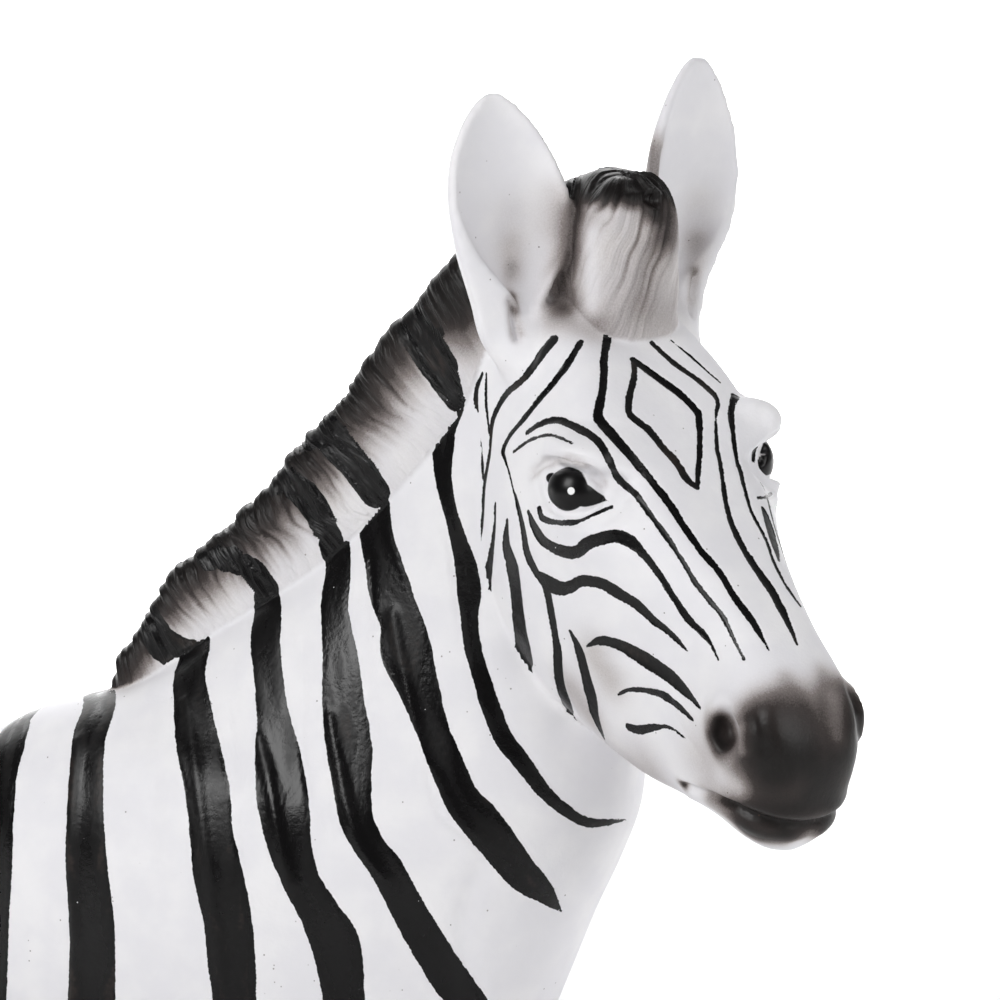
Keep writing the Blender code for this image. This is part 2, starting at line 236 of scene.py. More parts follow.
def skull_rings(rows=70, across=64):
    """Sections of the head across its own length."""
    for x, top, w1, z1, w2, z2, w3, z3, low in smooth_rows(SKULL, rows):
        half = [(0, top), (w1, z1), (w2, z2), (w3, z3), (0, low)]
        other = [(-w, z) for w, z in half[-2:0:-1]]
        section = smooth_loop(half + other, across)
        yield from_head([(x, w, z) for w, z in section])


# Ears: a leaf rolled into a cup, standing upright whatever the head's nod, with
# a thick outer wall at the root. 1 is the left ear and -1 the right ear.
EAR_BASES = {1: (4.0, 19.0, -4.0), -1: (4.0, -14.0, -4.0)}
EAR_HEIGHTS = {1: 40.3, -1: 36.6}
EAR_LEANS = {1: 0.8, -1: 6.8}
EAR_FLARES = {1: -0.9, -1: 1.0}
EAR_OPENING_TURN = 10.0
EAR_RIM = 0.5
# Share of the height, half width, depth of the back, outward shift of the whole;
# then the cup's half width, depth and inward shift
EAR = (
    (-0.34, 3.0, 4.0, 1.0, 2.6, -3.0, 0.0),
    (-0.18, 5.0, 6.0, 2.6, 4.0, -3.0, 0.4),
    (-0.06, 5.6, 7.0, 3.2, 3.0, -1.6, 1.8),
    (0.04, 6.1, 7.6, 2.9, 1.5, 1.6, 3.0),
    (0.15, 7.7, 8.0, 2.0, 3.7, 4.4, 2.2),
    (0.30, 10.2, 7.8, 0.5, 7.7, 5.0, 0.9),
    (0.50, 11.0, 6.2, 0.0, 9.4, 3.7, 0.1),
    (0.68, 9.9, 4.8, 0.0, 8.3, 2.3, 0.0),
    (0.84, 7.1, 3.4, 0.0, 5.6, 1.0, 0.0),
    (0.95, 3.9, 2.2, 0.0, 2.6, 0.2, 0.0),
    (1.00, 1.3, 1.3, 0.0, 0.7, 0.0, 0.0),
)


def ear_rings(side, rows=44, across=44):
    """Crescent sections of one ear, from its root to its tip."""
    base = from_head([EAR_BASES[side]])[0]
    yaw = math.radians(HEAD_TURN + side * EAR_OPENING_TURN)
    opening = np.array([math.cos(yaw), math.sin(yaw), 0])
    outward = np.array([-math.sin(yaw), math.cos(yaw), 0]) * side
    rise = np.array([0, 0, EAR_HEIGHTS[side]]) + HEAD[:3, 1] * side * EAR_LEANS[side]
    arc = np.linspace(0, math.pi, across // 2)
    for t, width, depth, out, cup, cup_depth, inward in smooth_rows(EAR, rows):
        back = np.stack([width * np.cos(arc), -depth * np.sin(arc)], 1)
        front = np.stack([-cup * np.cos(arc) - inward,
                          EAR_RIM - (EAR_RIM + cup_depth) * np.sin(arc)], 1)
        loop = np.vstack([back, front])
        middle = base + rise * t + outward * out * EAR_FLARES[side]
        yield middle + np.outer(loop[:, 0], outward) + np.outer(loop[:, 1], opening)


# Mane: the root line on the crest, the height above it, and half the thickness,
# from the withers up the neck and over the poll to the forelock
MANE = (
    (-29.0, 0.0, 52.0, -0.35, 0.94, 2.0, 2.5),
    (-23.0, -0.3, 54.5, -0.40, 0.92, 8.0, 4.5),
    (-9.5, -1.0, 64.5, -0.62, 0.78, 13.0, 5.0),
    (11.0, -3.0, 79.0, -0.70, 0.70, 16.2, 5.2),
    (27.5, -6.5, 96.5, -0.74, 0.66, 17.9, 5.4),
    (40.5, -9.6, 112.0, -0.62, 0.76, 17.8, 5.6),
    (50.3, -10.0, 121.0, -0.35, 0.92, 19.4, 6.4),
    (57.6, -10.4, 123.0, 0.0, 1.00, 21.4, 7.4),
    (62.1, -13.7, 121.0, 0.05, 1.00, 23.4, 8.4),
    (64.7, -16.0, 118.5, 0.05, 1.00, 24.6, 8.0),
    (66.0, -17.2, 117.5, 0.05, 1.00, 23.8, 6.2),
    (66.7, -17.9, 117.0, 0.05, 1.00, 21.0, 3.4),
)
MANE_FULLNESS = 0.60
MANE_FLARE = 0.10
MANE_LOBES = 8.5
MANE_LOBE_DEPTH = 1.0
MANE_LOBE_SINK = 0.5
MANE_FOOT = -4.0
MANE_STEPS = 110


def mane_stations():
    """Root, up and side directions, height and half thickness at each step of the mane."""
    line = smooth_rows(MANE, MANE_STEPS)
    run = np.gradient(line[:, :3], axis=0)
    stations = []
    for k, (x, y, z, ux, uz, height, half) in enumerate(line):
        ahead = run[k] * (1, 1, 0)
        ahead /= np.linalg.norm(ahead)
        up = np.array([ux * ahead[0], ux * ahead[1], uz])
        up /= np.linalg.norm(up)
        side = np.array([-ahead[1], ahead[0], 0])
        lobe = MANE_LOBE_DEPTH * abs(math.sin(math.pi * MANE_LOBES * k / MANE_STEPS))
        top = height + (lobe - MANE_LOBE_SINK)
        stations.append((np.array([x, y, z]), up, side, top, half))
    return stations


def mane_rings(across=36):
    """Upright oval sections of the mane, square to its own run."""
    angle = np.linspace(0, 2 * math.pi, across, endpoint=False)
    for root, up, side, top, half in mane_stations():
        middle, reach = (top + MANE_FOOT) / 2, (top - MANE_FOOT) / 2
        along = np.sign(np.cos(angle)) * np.abs(np.cos(angle)) ** MANE_FULLNESS * reach + middle
        wide = np.sign(np.sin(angle)) * np.abs(np.sin(angle)) ** MANE_FULLNESS * half
        wide = wide * (1 - MANE_FLARE * np.cos(angle))
        yield root + np.outer(along, up) + np.outer(wide, side)


FORMS = {
    "neck": [loft(neck_rings())],
    "head": [loft(skull_rings()), loft(ear_rings(1)), loft(ear_rings(-1))],
    "mane": [loft(mane_rings())],
}
# Each point of the skin is of one of these kinds, by the form that it lies nearest to
NECK_FORM, HEAD_FORM, MANE_FORM = range(len(FORMS))


def fused_skin():
    """The overlapping forms made one smooth skin, in metres."""
    spots, faces = [], []
    for forms in FORMS.values():
        for points, corners in forms:
            start = sum(len(part) for part in spots)
            spots.append(points)
            faces += [[start + k for k in face] for face in corners]
    mesh = bpy.data.meshes.new("forms")
    mesh.from_pydata((np.vstack(spots) * UNIT).tolist(), [], faces)
    obj = bpy.data.objects.new("forms", mesh)
    bpy.context.scene.collection.objects.link(obj)
    remesh = obj.modifiers.new("Fuse", "REMESH")
    remesh.mode = "VOXEL"
    remesh.voxel_size = FUSE_CUBE * UNIT
    smooth = obj.modifiers.new("Smooth", "SMOOTH")
    smooth.factor = FUSE_SHARE
    smooth.iterations = FUSE_SMOOTHING
    bpy.context.view_layer.update()
    graph = bpy.context.evaluated_depsgraph_get()
    skin = bpy.data.meshes.new_from_object(obj.evaluated_get(graph))
    bpy.data.objects.remove(obj)
    return skin


def read_spots(mesh):
    spots = np.empty(len(mesh.vertices) * 3)
    mesh.vertices.foreach_get("co", spots)
    return spots.reshape(-1, 3) / UNIT


def read_normals(mesh):
    normals = np.empty(len(mesh.vertices) * 3)
    mesh.vertices.foreach_get("normal", normals)
    return normals.reshape(-1, 3)


def read_edges(mesh):
    edges = np.empty(len(mesh.edges) * 2, int)
    mesh.edges.foreach_get("vertices", edges)
    return edges.reshape(-1, 2)


def write_spots(mesh, spots):
    mesh.vertices.foreach_set("co", (spots * UNIT).ravel())
    mesh.update()


# Face: swellings and carvings, each moved into the skin in the head's frame

# Where the skin is softened so that ears and forelock grow out of the head: each
# place, its reach and the rounds of softening
SOFT = (
    ((9.5, 16.5, -10.0), 8.5, 60),
    ((9.5, -16.5, -10.0), 8.5, 60),
    ((10.5, 0.0, -0.5), 6.0, 40),
    ((9.5, 6.5, -1.0), 5.0, 40),
    ((9.5, -6.5, -1.0), 5.0, 40),
)
SOFT_STRENGTH = 0.5


def drawn_even(spots, edges, hold, rounds):
    """Each point drawn toward the mean of its neighbours, as far as hold says."""
    count = len(spots)
    ends = np.concatenate([edges, edges[:, ::-1]])
    valence = np.bincount(ends[:, 0], minlength=count)[:, None]
    for _ in range(rounds):
        near = spots[ends[:, 1]]
        total = [np.bincount(ends[:, 0], near[:, k], count) for k in range(3)]
        spots = spots + hold[:, None] * (np.stack(total, 1) / valence - spots)
    return spots


def soften(spots, edges):
    for place, reach, rounds in SOFT:
        away = np.linalg.norm(spots - place, axis=1) / reach
        spots = drawn_even(spots, edges, SOFT_STRENGTH * (1 - soft_step(away, 0.3, 1.0)), rounds)
    return spots


# Mouth: the height of its line at places along the head, and its groove
MOUTH_LINE = ((77.0, -32.0), (80.5, -28.9), (84.3, -25.0), (89.0, -21.2), (96.0, -18.2))
MOUTH_CORNER = 78.5
MOUTH_FADE = 1.5
MOUTH_DEPTH = 1.3
MOUTH_HALF_WIDTH = 0.9
# Lips: height, then middle above the line and reach
LIPS = ((0.4, 2.4, 1.5), (0.5, -2.6, 1.5))


def mouth_away(spots):
    """Height above the mouth line, and how far the line shows there."""
    x, z = spots[:, 0], spots[:, 2]
    shown = soft_step(x, MOUTH_CORNER - MOUTH_FADE, MOUTH_CORNER + MOUTH_FADE)
    return z - np.interp(x, *zip(*MOUTH_LINE)), shown


def shape_mouth(spots, normals):
    away, shown = mouth_away(spots)
    groove = MOUTH_DEPTH * bump(away, 0, MOUTH_HALF_WIDTH)
    lips = sum(height * bump(away, middle, reach) for height, middle, reach in LIPS)
    return spots + normals * ((lips - groove) * shown)[:, None]


# Nostril: its middle, the way it opens, its half sizes and its depth
NOSTRIL = (80.9, 12.3, -11.6)
NOSTRIL_OPENS = (0.35, 0.80, 0.45)
NOSTRIL_RUNS = (0.80, -0.10, -0.50)
NOSTRIL_HALF = (3.8, 2.8)
NOSTRIL_DEPTH = 3.4
NOSTRIL_WALL = (0.2, 1.15)
NOSTRIL_RIM = 0.7
NOSTRIL_NEAR = 6


def local_frame(middle, faces, runs, side):
    """Middle, facing, running and rising directions of a carving on one side."""
    mirror = np.array([1, side, 1])
    faces = np.array(faces) * mirror
    faces /= np.linalg.norm(faces)
    runs = np.array(runs) * mirror
    runs -= faces * (runs @ faces)
    runs /= np.linalg.norm(runs)
    return np.array(middle) * mirror, faces, runs, np.cross(runs, faces) * side


def nostril_reach(spots, side):
    """How far from the nostril's middle, where 1 is its edge, and the depth there."""
    middle, opens, runs, rises = local_frame(NOSTRIL, NOSTRIL_OPENS, NOSTRIL_RUNS, side)
    away = spots - middle
    p, q, h = away @ runs, away @ rises, away @ opens
    return np.hypot(p / NOSTRIL_HALF[0], q / NOSTRIL_HALF[1]), h, opens


def shape_nostrils(spots):
    for side in (1, -1):
        r, h, opens = nostril_reach(spots, side)
        pit = -NOSTRIL_DEPTH * (1 - soft_step(r, *NOSTRIL_WALL))
        rim = NOSTRIL_RIM * bump(r, 1.4, 0.3)
        spots = spots + np.outer((pit + rim) * (np.abs(h) < NOSTRIL_NEAR), opens)
    return spots


# Eye: the middle of the left and of the right one, the way each faces and the way
# its slit runs, in the head's frame, with the swellings and hollows round it
EYES = {1: (34.7, 19.2, -7.2), -1: (35.3, 20.3, -8.0)}
EYE_FACES = (0.25, 0.85, 0.46)
EYE_RUNS = (0.709, -0.486, 0.513)
EYE_HALF = 4.9
EYE_ABOVE = 3.2
EYE_BELOW = 3.5
EYEBALL = 5.0
EYEBALL_PROUD = 0.9
LID = 0.7
LID_EDGE = (-0.3, 0.4)
LID_MIDDLE = 0.8
LID_REACH = 0.7
CREASE_MIDDLE = 2.4
CREASE_REACH = 0.6
CREASE_ABOVE = 0.5
CREASE_BELOW = 0.3
EYE_NEAR = (7.0, 10.0)
BROW_RIDGE = 4.6
BROW_REACH = 6.5
BROW_FOOT = (3.0, 4.8)
BROW_TOP = (6.0, 11.5)
# The ridge under the eye, the cheek, the hollow at its inner corner and the swelling
# behind it: height, then middle and reach along the slit, and the same above it
EYE_SWELLS = (
    (2.0, 0.5, 5.0, -4.9, 1.9),
    (1.6, 3.0, 7.0, -8.0, 4.5),
    (-1.9, 7.0, 3.4, 0.8, 3.0),
    (0.8, -6.5, 2.5, 0.0, 4.0),
)


def eye_swell(p, q, edge):
    """How far the skin round an eye rises, by place along, above and out of its slit."""
    brow = soft_step(q, *BROW_FOOT) * (1 - soft_step(q, *BROW_TOP))
    swell = BROW_RIDGE * bump(p, 0, BROW_REACH) * brow
    for height, along, run, above, rise in EYE_SWELLS:
        swell += height * bump(p, along, run) * bump(q, above, rise)
    swell += LID * bump(edge, LID_MIDDLE, LID_REACH) * (1 - 0.8 * soft_step(q, 1.0, 3.0))
    crease = np.where(q > 0, CREASE_ABOVE, CREASE_BELOW)
    return swell - crease * bump(edge, CREASE_MIDDLE, CREASE_REACH)


def eye_edge(spots, side):
    """Distance out of the lids' edge, place along and above the slit, and depth."""
    middle, faces, runs, rises = local_frame(EYES[side], EYE_FACES, EYE_RUNS, side)
    away = spots - middle
    p, q, h = away @ runs, away @ rises, away @ faces
    reach = np.where(q > 0, EYE_ABOVE, EYE_BELOW)
    edge = (np.hypot(p / EYE_HALF, q / reach) - 1) * reach
    return edge, p, q, h, faces


def shape_eyes(spots):
    """Sets each eyeball in its lids, under its brow."""
    for side in (1, -1):
        edge, p, q, h, faces = eye_edge(spots, side)
        ball = np.sqrt(np.clip(EYEBALL**2 - p**2 - q**2, 1, None)) - EYEBALL + EYEBALL_PROUD
        skin = soft_step(edge, *LID_EDGE)
        moved = (1 - skin) * (ball - h) + skin * eye_swell(p, q, edge)
        near = 1 - soft_step(np.abs(h), *EYE_NEAR)
        spots = spots + np.outer(near * moved, faces)
    return spots


def shape_face(spots, normals):
    spots = shape_mouth(spots, normals @ HEAD[:3, :3])
    spots = shape_nostrils(spots)
    return shape_eyes(spots)


# Which form each point of the skin belongs to: neck, head or mane

def form_distances(spots):
    """Distance from every point to the surface of each form."""
    found = []
    for forms in FORMS.values():
        nearest = np.full(len(spots), 1e9)
        for points, faces in forms:
            tree = BVHTree.FromPolygons(points.tolist(), faces)
            reach = [tree.find_nearest(spot)[3] for spot in spots.tolist()]
            nearest = np.minimum(nearest, reach)
        found.append(nearest)
    return np.stack(found, 1)


# Brush strokes: where the middle of each runs over the casting, as places in the
# photograph's frame, with its width there. u runs right, v runs down, both in
# thousandths of the frame, and the stroke lies on the skin that the camera sees there.
FACE_STROKES = (
    (553, 340, 9, 542, 354, 8, 525, 377, 7, 506, 394, 6, 497, 409, 5, 492, 423, 4,
     490, 446, 3, 489, 456, 3, 484, 487, 3, 482, 525, 2.5, 477, 559, 2.5, 476, 591, 2),
    (581, 341, 6, 568, 363, 7, 553, 383, 6, 536, 403, 5, 525, 417, 5, 510, 435, 4,
     503, 450, 4, 505, 460, 3, 509, 473, 2, 513, 490, 2, 516, 499, 3, 522, 525, 5,
     526, 550, 7, 535, 571, 7, 545, 586, 7, 549, 602, 7, 553, 625, 7, 556, 648, 7,
     558, 680, 7, 565, 703, 6, 575, 723, 5, 585, 736, 2),
    (482, 374, 3, 476, 392, 5, 477, 426, 5, 482, 460, 3, 483, 478, 1.5),
    (486, 374, 2, 486, 403, 2.5, 489, 432, 2),
    (526, 433, 3, 542, 423, 6, 559, 420, 7, 579, 429, 8, 597, 440, 8, 608, 457, 8,
     618, 478, 7, 637, 496, 7, 651, 516, 6, 668, 539, 6, 683, 562, 5, 697, 585, 5,
     708, 599, 5, 723, 617, 5, 734, 640, 4, 744, 659, 3),
    (513, 452, 2.5, 530, 440, 3, 551, 435, 3, 572, 443, 2.5),
    (538, 509, 4, 543, 519, 5.5, 559, 523, 5.5, 576, 522, 5.5, 591, 515, 5, 612, 507, 4),
    (528, 512, 3, 535, 529, 8, 548, 545, 10, 573, 553, 13, 591, 542, 13, 614, 536, 13,
     631, 542, 12, 645, 556, 8, 660, 576, 7, 674, 599, 7, 688, 619, 8, 703, 634, 6,
     711, 645, 4, 718, 660, 2),
    (540, 575, 6, 553, 586, 15, 568, 588, 13, 582, 581, 12, 602, 584, 11, 619, 594, 11,
     637, 605, 10, 654, 621, 8, 671, 634, 6, 687, 651, 2),
    (586, 647, 2, 599, 641, 9, 617, 644, 10, 637, 654, 12, 654, 665, 13, 671, 677, 12,
     685, 691, 9, 700, 708, 2),
    (618, 695, 2, 628, 690, 5, 648, 691, 6, 662, 694, 8, 677, 705, 7, 693, 720, 2),
    (628, 727, 7, 640, 730, 10, 657, 727, 6, 671, 728, 3, 684, 739, 1),
    (570, 632, 3, 579, 651, 8, 586, 677, 9, 591, 697, 11, 595, 717, 7, 604, 739, 1),
    (507, 520, 2, 506, 545, 8, 512, 568, 12, 516, 596, 11, 520, 631, 13, 525, 660, 14,
     528, 688, 11, 535, 711, 8, 545, 726, 6, 559, 742, 1),
    (495, 503, 2, 494, 530, 3, 489, 568, 7, 487, 596, 8, 484, 631, 8, 487, 654, 6,
     492, 677, 4, 502, 694, 3, 513, 708, 2, 528, 726, 1),
)
# Strokes on the forehead and along the far edge of the face, which have no twin
FOREHEAD_STROKES = (
    (608, 336, 8, 604, 360, 8, 604, 374, 8, 602, 394, 9, 598, 415, 10, 602, 423, 10,
     617, 440, 10, 631, 456, 9, 651, 480, 8, 668, 502, 8, 685, 528, 7, 703, 553, 7,
     720, 573, 6, 734, 596, 7, 751, 619, 7, 760, 634, 5, 769, 650, 2),
    (634, 360, 6, 634, 377, 6, 629, 400, 7, 631, 415, 7, 648, 429, 7, 662, 446, 7,
     677, 463, 7, 686, 478, 7, 697, 487, 5),
    (634, 360, 6, 657, 377, 7, 680, 394, 7, 695, 409, 7, 699, 417, 7, 700, 446, 6,
     698, 478, 6, 697, 487, 5),
    (652, 343, 4, 674, 363, 5, 694, 377, 5, 713, 393, 5, 718, 403, 4, 716, 417, 3,
     717, 446, 4, 721, 467, 4, 727, 507, 5, 737, 536, 6, 754, 565, 7, 772, 591, 8,
     784, 614, 7, 792, 631, 5, 797, 644, 2),
    (671, 340, 1.5, 688, 354, 2, 705, 369, 2, 720, 382, 1.5),
    (734, 397, 8, 731, 412, 6, 733, 432, 5, 737, 460, 4, 741, 473, 4, 751, 510, 3,
     766, 539, 3, 774, 562, 2.5, 786, 585, 2.5, 800, 605, 2),
    (758, 498, 3, 766, 497, 4, 772, 493, 3),
    (763, 508, 3, 768, 520, 6, 774, 540, 7, 779, 560, 3),
)
NECK_STROKES = (
    (100, 680, 30, 100, 690, 32, 98, 709, 31, 89, 738, 32, 86, 775, 33, 85, 818, 36,
     86, 861, 40, 90, 904, 43, 92, 947, 45, 91, 999, 46, 91, 1030, 46),
    (195, 649, 25, 189, 675, 31, 191, 703, 37, 198, 747, 43, 207, 790, 44, 211, 833, 43,
     218, 876, 49, 227, 919, 48, 231, 962, 47, 234, 999, 44, 236, 1030, 44),
    (267, 597, 23, 267, 612, 27, 265, 640, 30, 268, 675, 29, 273, 718, 33, 278, 761, 47,
     283, 804, 51, 290, 847, 43, 301, 881, 37, 319, 913, 40, 336, 947, 48, 344, 999, 42,
     348, 1030, 42),
    (338, 559, 24, 337, 579, 26, 334, 607, 27, 337, 636, 31, 340, 660, 36, 343, 703, 42,
     349, 747, 46, 352, 784, 38, 356, 818, 34, 370, 847, 31, 387, 870, 33, 405, 904, 34,
     425, 939, 36, 448, 976, 37, 465, 999, 37, 484, 1030, 37),
    (377, 507, 29, 375, 530, 32, 383, 564, 37, 390, 593, 43, 401, 622, 42, 406, 651, 51,
     419, 689, 40, 432, 728, 33, 447, 766, 34, 462, 799, 36, 483, 824, 40, 503, 850, 38,
     523, 875, 33, 544, 893, 22, 562, 912, 2),
    (456, 407, 20, 449, 421, 21, 443, 450, 20, 443, 478, 17, 449, 507, 14, 457, 536, 16,
     465, 564, 22, 469, 593, 24, 469, 617, 18, 473, 648, 17, 482, 680, 18, 492, 711, 19,
     505, 740, 19, 525, 766, 18, 545, 792, 14, 568, 812, 12, 591, 823, 10, 627, 820, 2),
)
# Strokes at the back end, past the photograph's edge, wide as the one cut by it
REAR_STROKES = (
    (14, 728, 22, 6, 745, 30, -6, 775, 42, -10, 820, 44, -12, 870, 44, -16, 930, 46,
     -20, 1020, 48),
)
# Black bands over the mane, each from its edge down to its root
MANE_STROKES = (
    (150, 625, 34, 165, 645, 34, 190, 655, 28),
    (205, 560, 20, 226, 559, 26, 249, 568, 27, 264, 582, 25, 268, 604, 24),
    (262, 478, 26, 292, 484, 30, 315, 507, 30, 330, 536, 26, 338, 562, 24),
    (305, 428, 34, 330, 435, 36, 355, 464, 32, 376, 492, 30),
    (405, 312, 30, 422, 335, 36, 440, 368, 32, 456, 400, 20),
)


# The photograph's frame is this many steps wide and high
FRAME = 1000


def seen_from(u, v):
    """The way from the camera through a place in the photograph's frame."""
    across, down = ((k - FRAME / 2) * SENSOR / LENS / FRAME for k in (u, v))
    way = RIGHT * across - UP * down - BACK
    return way / np.linalg.norm(way)


class Skin:
    """The casting's surface, asked for the places that strokes and passes lie on."""

    def __init__(self, mesh):
        self.tree = BVHTree.FromPolygons(
            read_spots(mesh).tolist(), [list(face.vertices) for face in mesh.polygons])

    def under(self, u, v):
        hit, normal, _, _ = self.tree.ray_cast(Vector(EYEPOINT), Vector(seen_from(u, v)))
        return (None, None) if hit is None else (np.array(hit), np.array(normal))

    def nearest(self, spot):
        hit, normal, _, _ = self.tree.find_nearest(Vector(spot))
        return np.array(hit), np.array(normal)


STROKE_STEP = 5
# A stroke seen at a slant is widened to lie on the skin, up to this share
LEAST_SLANT = 0.4
# Points farther from a stroke's edge than this don't need their distance
FAR = 9.0


def laid_stroke(skin, stroke):
    """Middle line and half widths of one stroke where it lies on the skin."""
    keys = np.reshape(stroke, (-1, 3))
    run = np.hypot(*np.diff(keys[:, :2], axis=0).T).sum()
    keys = smooth_rows(keys, max(6, int(run / STROKE_STEP)))
    line, halves, facing = [], [], []
    for u, v, width in keys:
        hit, normal = skin.under(u, v)
        if hit is not None:
            line.append(hit)
            halves.append(width / 2)
            facing.append(normal)
    line, facing = np.array(line), np.array(facing)
    along = np.gradient(line, axis=0)
    along /= np.linalg.norm(along, axis=1)[:, None]
    across = np.cross(facing, along)
    way = line - EYEPOINT
    far = np.linalg.norm(way, axis=1)
    way /= far[:, None]
    across -= (across * way).sum(axis=1)[:, None] * way
    along -= (along * way).sum(axis=1)[:, None] * way
    along /= np.linalg.norm(along, axis=1)[:, None]
    across -= (across * along).sum(axis=1)[:, None] * along
    slant = np.clip(np.linalg.norm(across, axis=1), LEAST_SLANT, 1)
    return line, np.array(halves) * far * SENSOR / LENS / FRAME / slant


def away_from_stroke(spots, line, halves):
    """Distance outside the stroke's edge, negative within it, and place along the stroke."""
    reach = halves.max() + 4
    found, places = np.full(len(spots), FAR), np.zeros(len(spots))
    near = np.all((spots > line.min(axis=0) - reach) & (spots < line.max(axis=0) + reach), axis=1)
    close = spots[near]
    best, place = np.full(len(close), FAR), np.zeros(len(close))
    gone = 0.0
    for a, b, wa, wb in zip(line, line[1:], halves, halves[1:]):
        step = b - a
        length = max(np.linalg.norm(step), 1e-6)
        share = np.clip((close - a) @ step / length**2, 0, 1)
        gap = np.linalg.norm(close - a - share[:, None] * step, axis=1) - wa - (wb - wa) * share
        place = np.where(gap < best, gone + share * length, place)
        best = np.minimum(best, gap)
        gone += length
    found[near], places[near] = best, place
    return found, places


# Brush marks: bristle lines to a millimetre across the stroke, the run over which they
# wander, and the patches between them, by run, width and share
BRISTLES = 1.1
BRISTLE_RUN = 6
PATCH_RUN = 5
PATCH_WIDTH = 2
PATCH_SHARE = 0.4


class Coat:
    """The black paint on a set of points: how far outside it each is, and its brush marks."""

    def __init__(self, count):
        self.edge = np.full(count, FAR)
        self.marks = np.zeros(count)
        self.layers = 0

    def add(self, spots, line, halves):
        if len(line) < 2:
            return
        self.layers += 1
        edge, place = away_from_stroke(spots, line, halves)
        lines = edge * BRISTLES + value_noise(place / BRISTLE_RUN, self.layers)
        marks = value_noise(lines, self.layers + 50)
        patches = value_noise(place / PATCH_RUN + edge / PATCH_WIDTH, self.layers + 90)
        marks = (1 - PATCH_SHARE) * marks + PATCH_SHARE * patches
        self.marks = np.where(edge < self.edge, marks, self.marks)
        self.edge = np.minimum(self.edge, edge)


def twin_on_head(line):
    return from_head(to_head(line) * (1, -1, 1))


NECK_SECTIONS = list(neck_sections(200))
# Skin turned from the camera by more than this share carries the face's twins
HIDDEN_SHARE = 0.05
JOIN_STEPS = 24
CREST_STEPS = 9


def twin_on_neck(line):
    """The places across the neck's own middle plane."""
    middles = np.array([s[0] for s in NECK_SECTIONS])
    reaches = np.array([s[1] for s in NECK_SECTIONS])
    sides = np.array([s[2] for s in NECK_SECTIONS])
    planes = np.cross(reaches, sides)
    planes /= np.linalg.norm(planes, axis=1)[:, None]
    twins = []
    for spot in line:
        away = spot - middles
        off = np.abs((away * planes).sum(axis=1))
        along = np.abs((away * reaches).sum(axis=1)) / (reaches**2).sum(axis=1)
        k = np.argmin(off + 50 * np.maximum(along - 1.1, 0))
        twins.append(spot - 2 * (away[k] @ sides[k]) * sides[k])
    return np.array(twins)


def laid_again(skin, line, halves, twin, hidden_only=False):
    """The stroke's twin on the skin of the other side, or on its hidden part alone."""
    places, widths = [], []
    for spot, half in zip(twin(line), halves):
        hit, normal = skin.nearest(spot)
        if not hidden_only or normal @ (EYEPOINT - hit) < HIDDEN_SHARE * CAMERA_AWAY:
            places.append(hit)
            widths.append(half)
    return np.array(places), np.array(widths)


def over_the_back(skin, here, there, half):
    """A stroke that joins the tops of two twins over the crest."""
    places = []
    for share in np.linspace(0, 1, CREST_STEPS):
        spot = here + (there - here) * share
        hit, _, _, _ = skin.tree.ray_cast(Vector(spot) + Vector((0, 0, 30)), Vector((0, 0, -1)))
        places.append(np.array(hit) if hit is not None else skin.nearest(spot)[0])
    return np.array(places), np.full(CREST_STEPS, half)


def up_to_mane(skin, here, twin, half):
    """A stroke that joins the top of a twin to the mane, where the near one meets it."""
    root = ROOTS[np.linalg.norm(ROOTS - here, axis=1).argmin()]
    shares = np.linspace(0, 1, JOIN_STEPS)
    places = [skin.nearest(root + (twin - root) * share)[0] for share in shares]
    return np.array(places), np.full(JOIN_STEPS, half)


def face_paint(skin, spots):
    """The face's strokes, each with its twin on the hidden side, and the forehead's."""
    coat = Coat(len(spots))
    for stroke in FACE_STROKES:
        line, halves = laid_stroke(skin, stroke)
        coat.add(spots, line, halves)
        coat.add(spots, *laid_again(skin, line, halves, twin_on_head, hidden_only=True))
    for stroke in FOREHEAD_STROKES:
        line, halves = laid_stroke(skin, stroke)
        coat.add(spots, line, halves)
    return coat


def neck_paint(skin, spots):
    """The neck's strokes and their twins, joined over the crest or up to the mane."""
    coat = Coat(len(spots))
    for number, stroke in enumerate(NECK_STROKES + REAR_STROKES):
        line, halves = laid_stroke(skin, stroke)
        twin, twin_halves = laid_again(skin, line, halves, twin_on_neck)
        coat.add(spots, line, halves)
        coat.add(spots, twin, twin_halves)
        if number in (0, len(NECK_STROKES)):
            coat.add(spots, *over_the_back(skin, line[0], twin[0], halves[0]))
        elif number != len(NECK_STROKES) - 1:
            coat.add(spots, *up_to_mane(skin, line[0], twin[0], halves[0]))
    return coat


# Mane coordinates: run along the root, rise above it, and the height there

STATIONS = mane_stations()
ROOTS = np.array([s[0] for s in STATIONS])
RUNS = np.concatenate([[0], np.cumsum(np.linalg.norm(np.diff(ROOTS, axis=0), axis=1))])
# Points are measured in lots of this many, so that the tables stay small
LOT = 4000
ROOT_DEPTH = 2
STATION_REACH = 0.8


